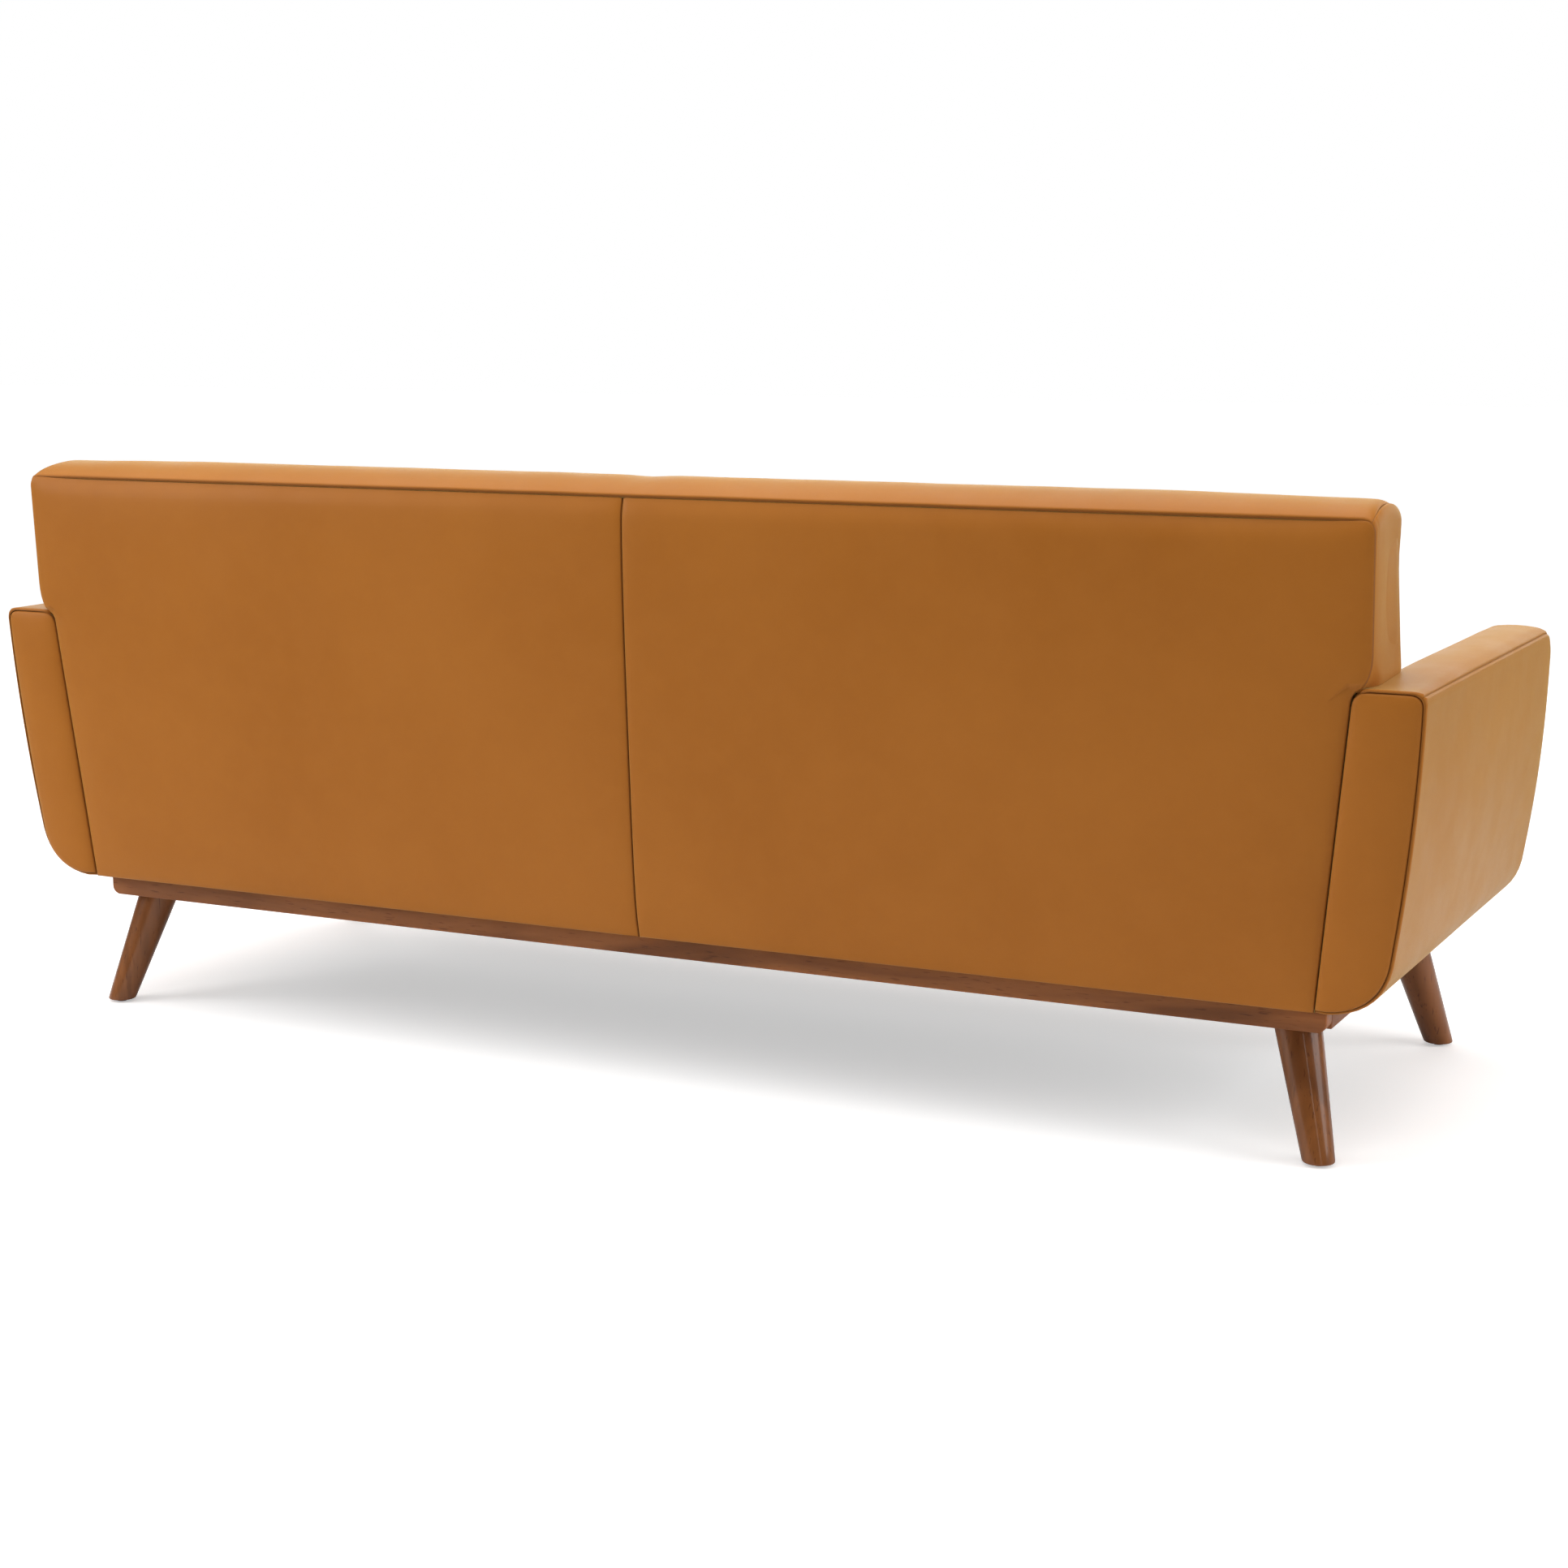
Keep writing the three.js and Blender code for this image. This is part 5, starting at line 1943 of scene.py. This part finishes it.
@dataclass(frozen=True)
class BackCushion:
    """Half of the buttoned back: a filled leather face with a row of deep buttons."""

    lines: ShellLines
    back: Back
    cell: float = 0.014
    behind: float = 0.045
    margin: float = 0.001
    puff: float = 0.022
    plump: float = 0.016
    button_row: float = 0.640
    buttons: int = 3
    sink: float = 0.022
    button_radius: float = 0.014
    button_flat: float = 0.36
    dimple: float = 0.052
    edge: float = 0.016
    bending: float = 0.6
    plump_reach: float = 0.045
    top_room: float = 0.004
    face_room: float = 0.002
    depth_cells: int = 4
    seat_top: float = 0.47
    seat_room: float = 0.001
    quick_puff: float = 0.012

    @property
    def places(self) -> list[float]:
        """How far the buttons are from the sofa's middle."""
        return [self.lines.half * (i + 0.75) / (self.buttons + 0.5) for i in range(self.buttons)]

    def side_at(self, z: float) -> float:
        """X of the cushion's outer edge at a height.

        Args:
            z: The height.

        Returns:
            X on the left side.
        """
        lines, neck = self.lines, self.back.neck
        straight = lines.inner(min(z, neck)) - SEAM_GAP
        share = smoothstep(neck - 0.004, neck + self.back.ear_rise, z)
        return mix(straight, lines.half, share) - self.margin

    def build(self, side: Side, finishes: Finishes) -> None:
        """Makes one half with its buttons.

        Args:
            side: The side that it stands on.
            finishes: The sofa's finishes.
        """
        node = f"back_cushion_{side.word}"
        mesh = on_side(self._block(), side)
        piece = add_piece(f"{node}_leather", mesh, finishes.leather, nodes=[node])
        seat_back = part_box("seat_cushion_cover_left")[1].y

        def limit(first: Vector, last: Vector) -> Vector:
            """A filled place, kept between the sides, behind the seat and no lower than the deck.

            Args:
                first: Where the point was.
                last: Where the filling took it.

            Returns:
                The kept place.
            """
            room = self.puff
            if first.z < self.seat_top:
                room = max(0.0, first.y - seat_back - self.seat_room)
            forwards = min(max(0.0, first.y - last.y), self.puff, room)
            x = max(SEAM_GAP, min(self.side_at(first.z), abs(last.x))) * side.value
            z = max(self.lines.deck, min(last.z, self.lines.crown))
            return Vector((x, first.y - forwards, z))

        def stand_in(first: Vector) -> Vector:
            """A place on a face that is moved straight forwards."""
            facing = first.y < self.lines.back_front(first.z) + self.edge / 2.0
            return first - Y_AXIS * (self.quick_puff if facing else 0.0)

        Filling(cap=self.puff, bending=self.bending).swell(
            piece, self._sewn(piece), limit, stand_in)
        for number in range(1, self.buttons + 1):
            self._button(f"back_button_{side.word}_{number}", finishes)

    def _block(self) -> bmesh.types.BMesh:
        """The unfilled half, with its button dimples pressed in.

        Returns:
            The mesh.
        """
        lines = self.lines
        top = lines.crown - lines.crown_fall - self.top_room
        counts = (round(lines.half / self.cell), self.depth_cells,
                  round((top - lines.deck) / self.cell))
        mesh = lattice([(0.0, 1.0)] * 3, counts)

        def place(spot: Vector) -> Vector:
            """A point of the unit box, moved to its place in the cushion.

            Args:
                spot: The point.

            Returns:
                The place.
            """
            z = mix(lines.deck, top, spot.z)
            x = mix(SEAM_GAP * 3, self.side_at(z), spot.x)
            y = mix(lines.back_front(z) + self.face_room, lines.rear(z) - self.behind, spot.y)
            if spot.y < LEVEL:
                edge = min(x, self.side_at(z) - x, top - z, z - lines.deck)
                y += rolled(edge, self.edge)
                y -= self.plump * (1.0 - math.exp(-edge / self.plump_reach))
                for centre in self.places:
                    away = math.hypot(x - centre, z - self.button_row) / self.dimple
                    y += self.sink * math.exp(-(away * 2.2) ** 1.5)
            return Vector((x, y, z))

        return shift(mesh, place)

    def _sewn(self, piece: bpy.types.Object) -> list[int]:
        """The vertices behind the face, around its rim and under the buttons.

        Args:
            piece: The cover.

        Returns:
            The vertices' indexes.
        """
        held = []
        for vert in piece.data.vertices:
            x, y, z = abs(vert.co.x), vert.co.y, vert.co.z
            rim = self.lines.back_front(z) + self.face_room + self.edge * 0.7
            if y > rim or any(math.hypot(x - place, z - self.button_row) < self.button_radius
                              for place in self.places):
                held.append(vert.index)
        return held

    def _button(self, node: str, finishes: Finishes) -> None:
        """Makes a leather-covered button, sunk into the face.

        Args:
            node: The button's node.
            finishes: The sofa's finishes.
        """
        low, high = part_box(node)
        mesh = bmesh.new()
        bmesh.ops.create_uvsphere(mesh, u_segments=24, v_segments=12, radius=self.button_radius)
        bmesh.ops.scale(mesh, vec=(1.0, self.button_flat, 1.0), verts=mesh.verts[:])
        bmesh.ops.translate(mesh, vec=(low + high) / 2.0, verts=mesh.verts[:])
        add_piece(f"{node}_leather", mesh, finishes.leather, nodes=[node])


@dataclass(frozen=True)
class FrontBorder:
    """The padded leather roll under the front of the seat cushions."""

    pitch: float = 0.02
    row_pitch: float = 0.01
    curve_steps: int = 8
    swell: float = 0.003
    swell_reach: float = 0.02
    end_roll: float = 0.003
    wave: float = 0.0008

    def build(self, finishes: Finishes) -> None:
        """Makes the border.

        Args:
            finishes: The sofa's finishes.
        """
        low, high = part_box("seat_front_border")
        round_edge = (high.y - low.y) / 2.0
        path = Outline(high.y, high.z)
        path.line_to(low.y + round_edge, high.z)
        path.curve_to((low.y, high.z), low.y, high.z - round_edge)
        path.line_to(low.y, low.z + round_edge)
        path.curve_to((low.y, low.z), low.y + round_edge, low.z)
        path.line_to(high.y, low.z)
        rows = []
        for run in range(len(path.runs)):
            count = max(2, round(path.length(run) / self.row_pitch))
            count = self.curve_steps if path.curved(run) else count
            rows += [(run, i / count) for i in range(count)]
        rows.append((len(path.runs) - 1, 1.0))
        length = high.x - low.x
        columns = spread(length, self.pitch, True, True)

        def place(column: float, row: tuple[int, float]) -> Vector:
            """A point of the border, before it is padded."""
            y, z = path.at(*row)
            return Vector((mix(low.x, high.x, column), y, z))

        def height(spot: Vector, column: float, row: tuple[int, float]) -> float:
            """How far the padding lifts the leather, but for the flat top and bottom.

            Args:
                spot: The point.
                column: The column.
                row: The row.

            Returns:
                The travel along the surface's normal.
            """
            end = min(column, 1.0 - column) * length
            full = self.swell if 0 < row[0] < len(path.runs) - 1 else 0.0
            return (full * (1.0 - math.exp(-end / self.swell_reach)) - rolled(end, self.end_roll)
                    + self.wave * ripple(spot, 0.07, 11.0))

        loft = Loft(columns, rows, place)
        loft.face_away_from(Vector((0.0, high.y, (low.z + high.z) / 2.0)))
        loft.pad(height)
        piece = add_piece("seat_front_border_leather", loft.thicken(LEATHER), finishes.leather,
                          nodes=["seat_front_border"])


# ---- The wooden frame and what lies in it ------------------------------------------------
class InnerFrame:
    """The frame's own timbers, springs, webbing and deck, which only get better materials."""

    def __init__(self, finishes: Finishes) -> None:
        """Notes which finish each node takes, by the start of its name.

        Args:
            finishes: The sofa's finishes.
        """
        self.looks = {
            "corner_block": finishes.bare_wood,
            "seat_rail": finishes.bare_wood,
            "seat_stretcher": finishes.bare_posts,
            "back_rail_top": finishes.bare_wood,
            "back_post": finishes.bare_posts,
            "arm_board": finishes.bare_posts,
            "leg_bolt": finishes.bolt_steel,
            "seat_spring_set": finishes.spring_steel,
            "back_webbing": finishes.webbing,
            "seat_deck": finishes.deck,
            "dust_cover": finishes.lining,
        }

    def dress(self, nodes: dict[str, bpy.types.Object]) -> None:
        """Gives each shown node its finish.

        Args:
            nodes: The frame's nodes by name.
        """
        for name, node in nodes.items():
            for start, finish in self.looks.items():
                if name.startswith(start):
                    for place in node.material_slots:
                        place.material = finish.material
                    LOG.info("%s: %s", name, finish.material.name)


# ---- Studio ------------------------------------------------------------------------------
@dataclass(frozen=True)
class Lamp:
    """A soft rectangular light that faces a point."""

    name: str
    place: Colour
    aim: Colour
    size: Point
    power: float

    def build(self) -> None:
        """Makes the light."""
        data = bpy.data.lights.new(self.name, "AREA")
        data.shape = "RECTANGLE"
        data.size, data.size_y = self.size
        data.energy = self.power
        light = in_scene(self.name, data)
        light.location = self.place
        line = Vector(self.aim) - Vector(self.place)
        light.rotation_euler = line.to_track_quat("-Z", "Y").to_euler()


@dataclass(frozen=True)
class Studio:
    """A pale floor, soft lights and the camera."""

    floor_size: float = 60.0
    floor_colour: Colour = (0.92, 0.92, 0.92)
    floor_lift: float = 0.45
    floor_fall: float = 0.4
    glow_reach: Point = (1.9, 4.0)
    fall_reach: Point = (1.3, 3.2)
    sky: float = 0.05
    eye: Colour = (-1.9351, 3.8356, 1.1222)
    tilt: float = 80.28
    heading: float = 206.27
    lens: float = 63.15
    sensor: float = 36.0
    lamps: tuple[Lamp, ...] = (
        Lamp("overhead", (0.2, 0.2, 3.4), (0.0, 0.0, 0.5), (6.0, 5.0), 190.0),
        Lamp("right_side", (-4.2, -0.4, 1.7), (-0.4, 0.0, 0.5), (3.0, 2.2), 72.0),
        Lamp("left_rear", (3.4, 2.5, 2.0), (1.0, 0.4, 0.6), (2.4, 2.0), 78.0),
        Lamp("front", (1.2, -4.5, 1.75), (0.6, 0.0, 0.6), (8.6, 2.7), 96.0),
        Lamp("strip", (-2.83, 2.68, 0.9), (-0.98, 0.32, 0.3), (0.09, 1.7), 3.0),
    )

    def build(self) -> None:
        """Makes the floor, lights and camera."""
        self._floor()
        self._world()
        for lamp in self.lamps:
            lamp.build()
        self._camera()
        settings = bpy.context.scene.view_settings
        settings.view_transform = "Standard"
        settings.look = "None"

    def _floor(self) -> None:
        """A wide pale floor that isn't part of the sofa."""
        mesh = bmesh.new()
        bmesh.ops.create_grid(mesh, x_segments=2, y_segments=2, size=self.floor_size / 2.0)
        data = bpy.data.meshes.new("floor")
        mesh.to_mesh(data)
        mesh.free()
        floor = in_scene("floor", data)
        shader = Shader("pale_floor")
        far = shader.node("VectorMath", "Value", {0: shader.place}, operation="LENGTH")
        seen = shader.node("LightPath", "Is Camera Ray", {})
        glow = shader.span(far, *self.glow_reach, self.floor_lift, 1.0)
        dark = tuple(self.floor_fall * part for part in self.floor_colour)
        tone = shader.blend(shader.span(far, *self.fall_reach), self.floor_colour, dark)
        shader.set(Base_Color=tone, Roughness=0.75, Specular_IOR_Level=0.2,
                   Emission_Color=(1.0, 1.0, 1.0),
                   Emission_Strength=shader.maths("MULTIPLY", seen, glow))
        data.materials.append(shader.material)

    def _world(self) -> None:
        """An even pale surrounding, white to the camera."""
        world = bpy.data.worlds.new("studio")
        bpy.context.scene.world = world
        world.use_nodes = True
        nodes, links = world.node_tree.nodes, world.node_tree.links
        paths, either = nodes.new("ShaderNodeLightPath"), nodes.new("ShaderNodeMixShader")
        given, shown = nodes["Background"], nodes.new("ShaderNodeBackground")
        for node, strength in ((given, self.sky), (shown, 1.0)):
            node.inputs["Color"].default_value = (1.0, 1.0, 1.0, 1.0)
            node.inputs["Strength"].default_value = strength
        sources = (paths.outputs["Is Camera Ray"], given.outputs[0], shown.outputs[0])
        for source, target in zip(sources, either.inputs):
            links.new(source, target)
        links.new(either.outputs[0], nodes["World Output"].inputs["Surface"])

    def _camera(self) -> None:
        """The camera, behind the sofa's right end and a little above its back."""
        data = bpy.data.cameras.new("camera")
        data.lens = self.lens
        data.sensor_width = self.sensor
        camera = in_scene("camera", data)
        camera.location = self.eye
        camera.rotation_euler = (math.radians(self.tilt), 0.0, math.radians(self.heading))
        bpy.context.scene.camera = camera


def main() -> None:
    """Builds the sofa around its frame."""
    logging.basicConfig(level=logging.INFO, format="%(name)s %(message)s", stream=sys.stdout)
    finishes = Finishes()
    lines = ShellLines.from_frame()
    Studio().build()
    InnerFrame(finishes).dress(frame["nodes"])
    Plinth(finishes).build()
    for place in ("back", "front"):
        for side in Side:
            Leg(place, side).build(finishes)
    back = Back(lines)
    back.build(finishes)
    for side in Side:
        Arm(lines).build(side, finishes)
    FrontBorder().build(finishes)
    for side in Side:
        BackCushion(lines, back).build(side, finishes)
        SeatCushion().build(side, finishes)


if __name__ == "__main__":
    main()
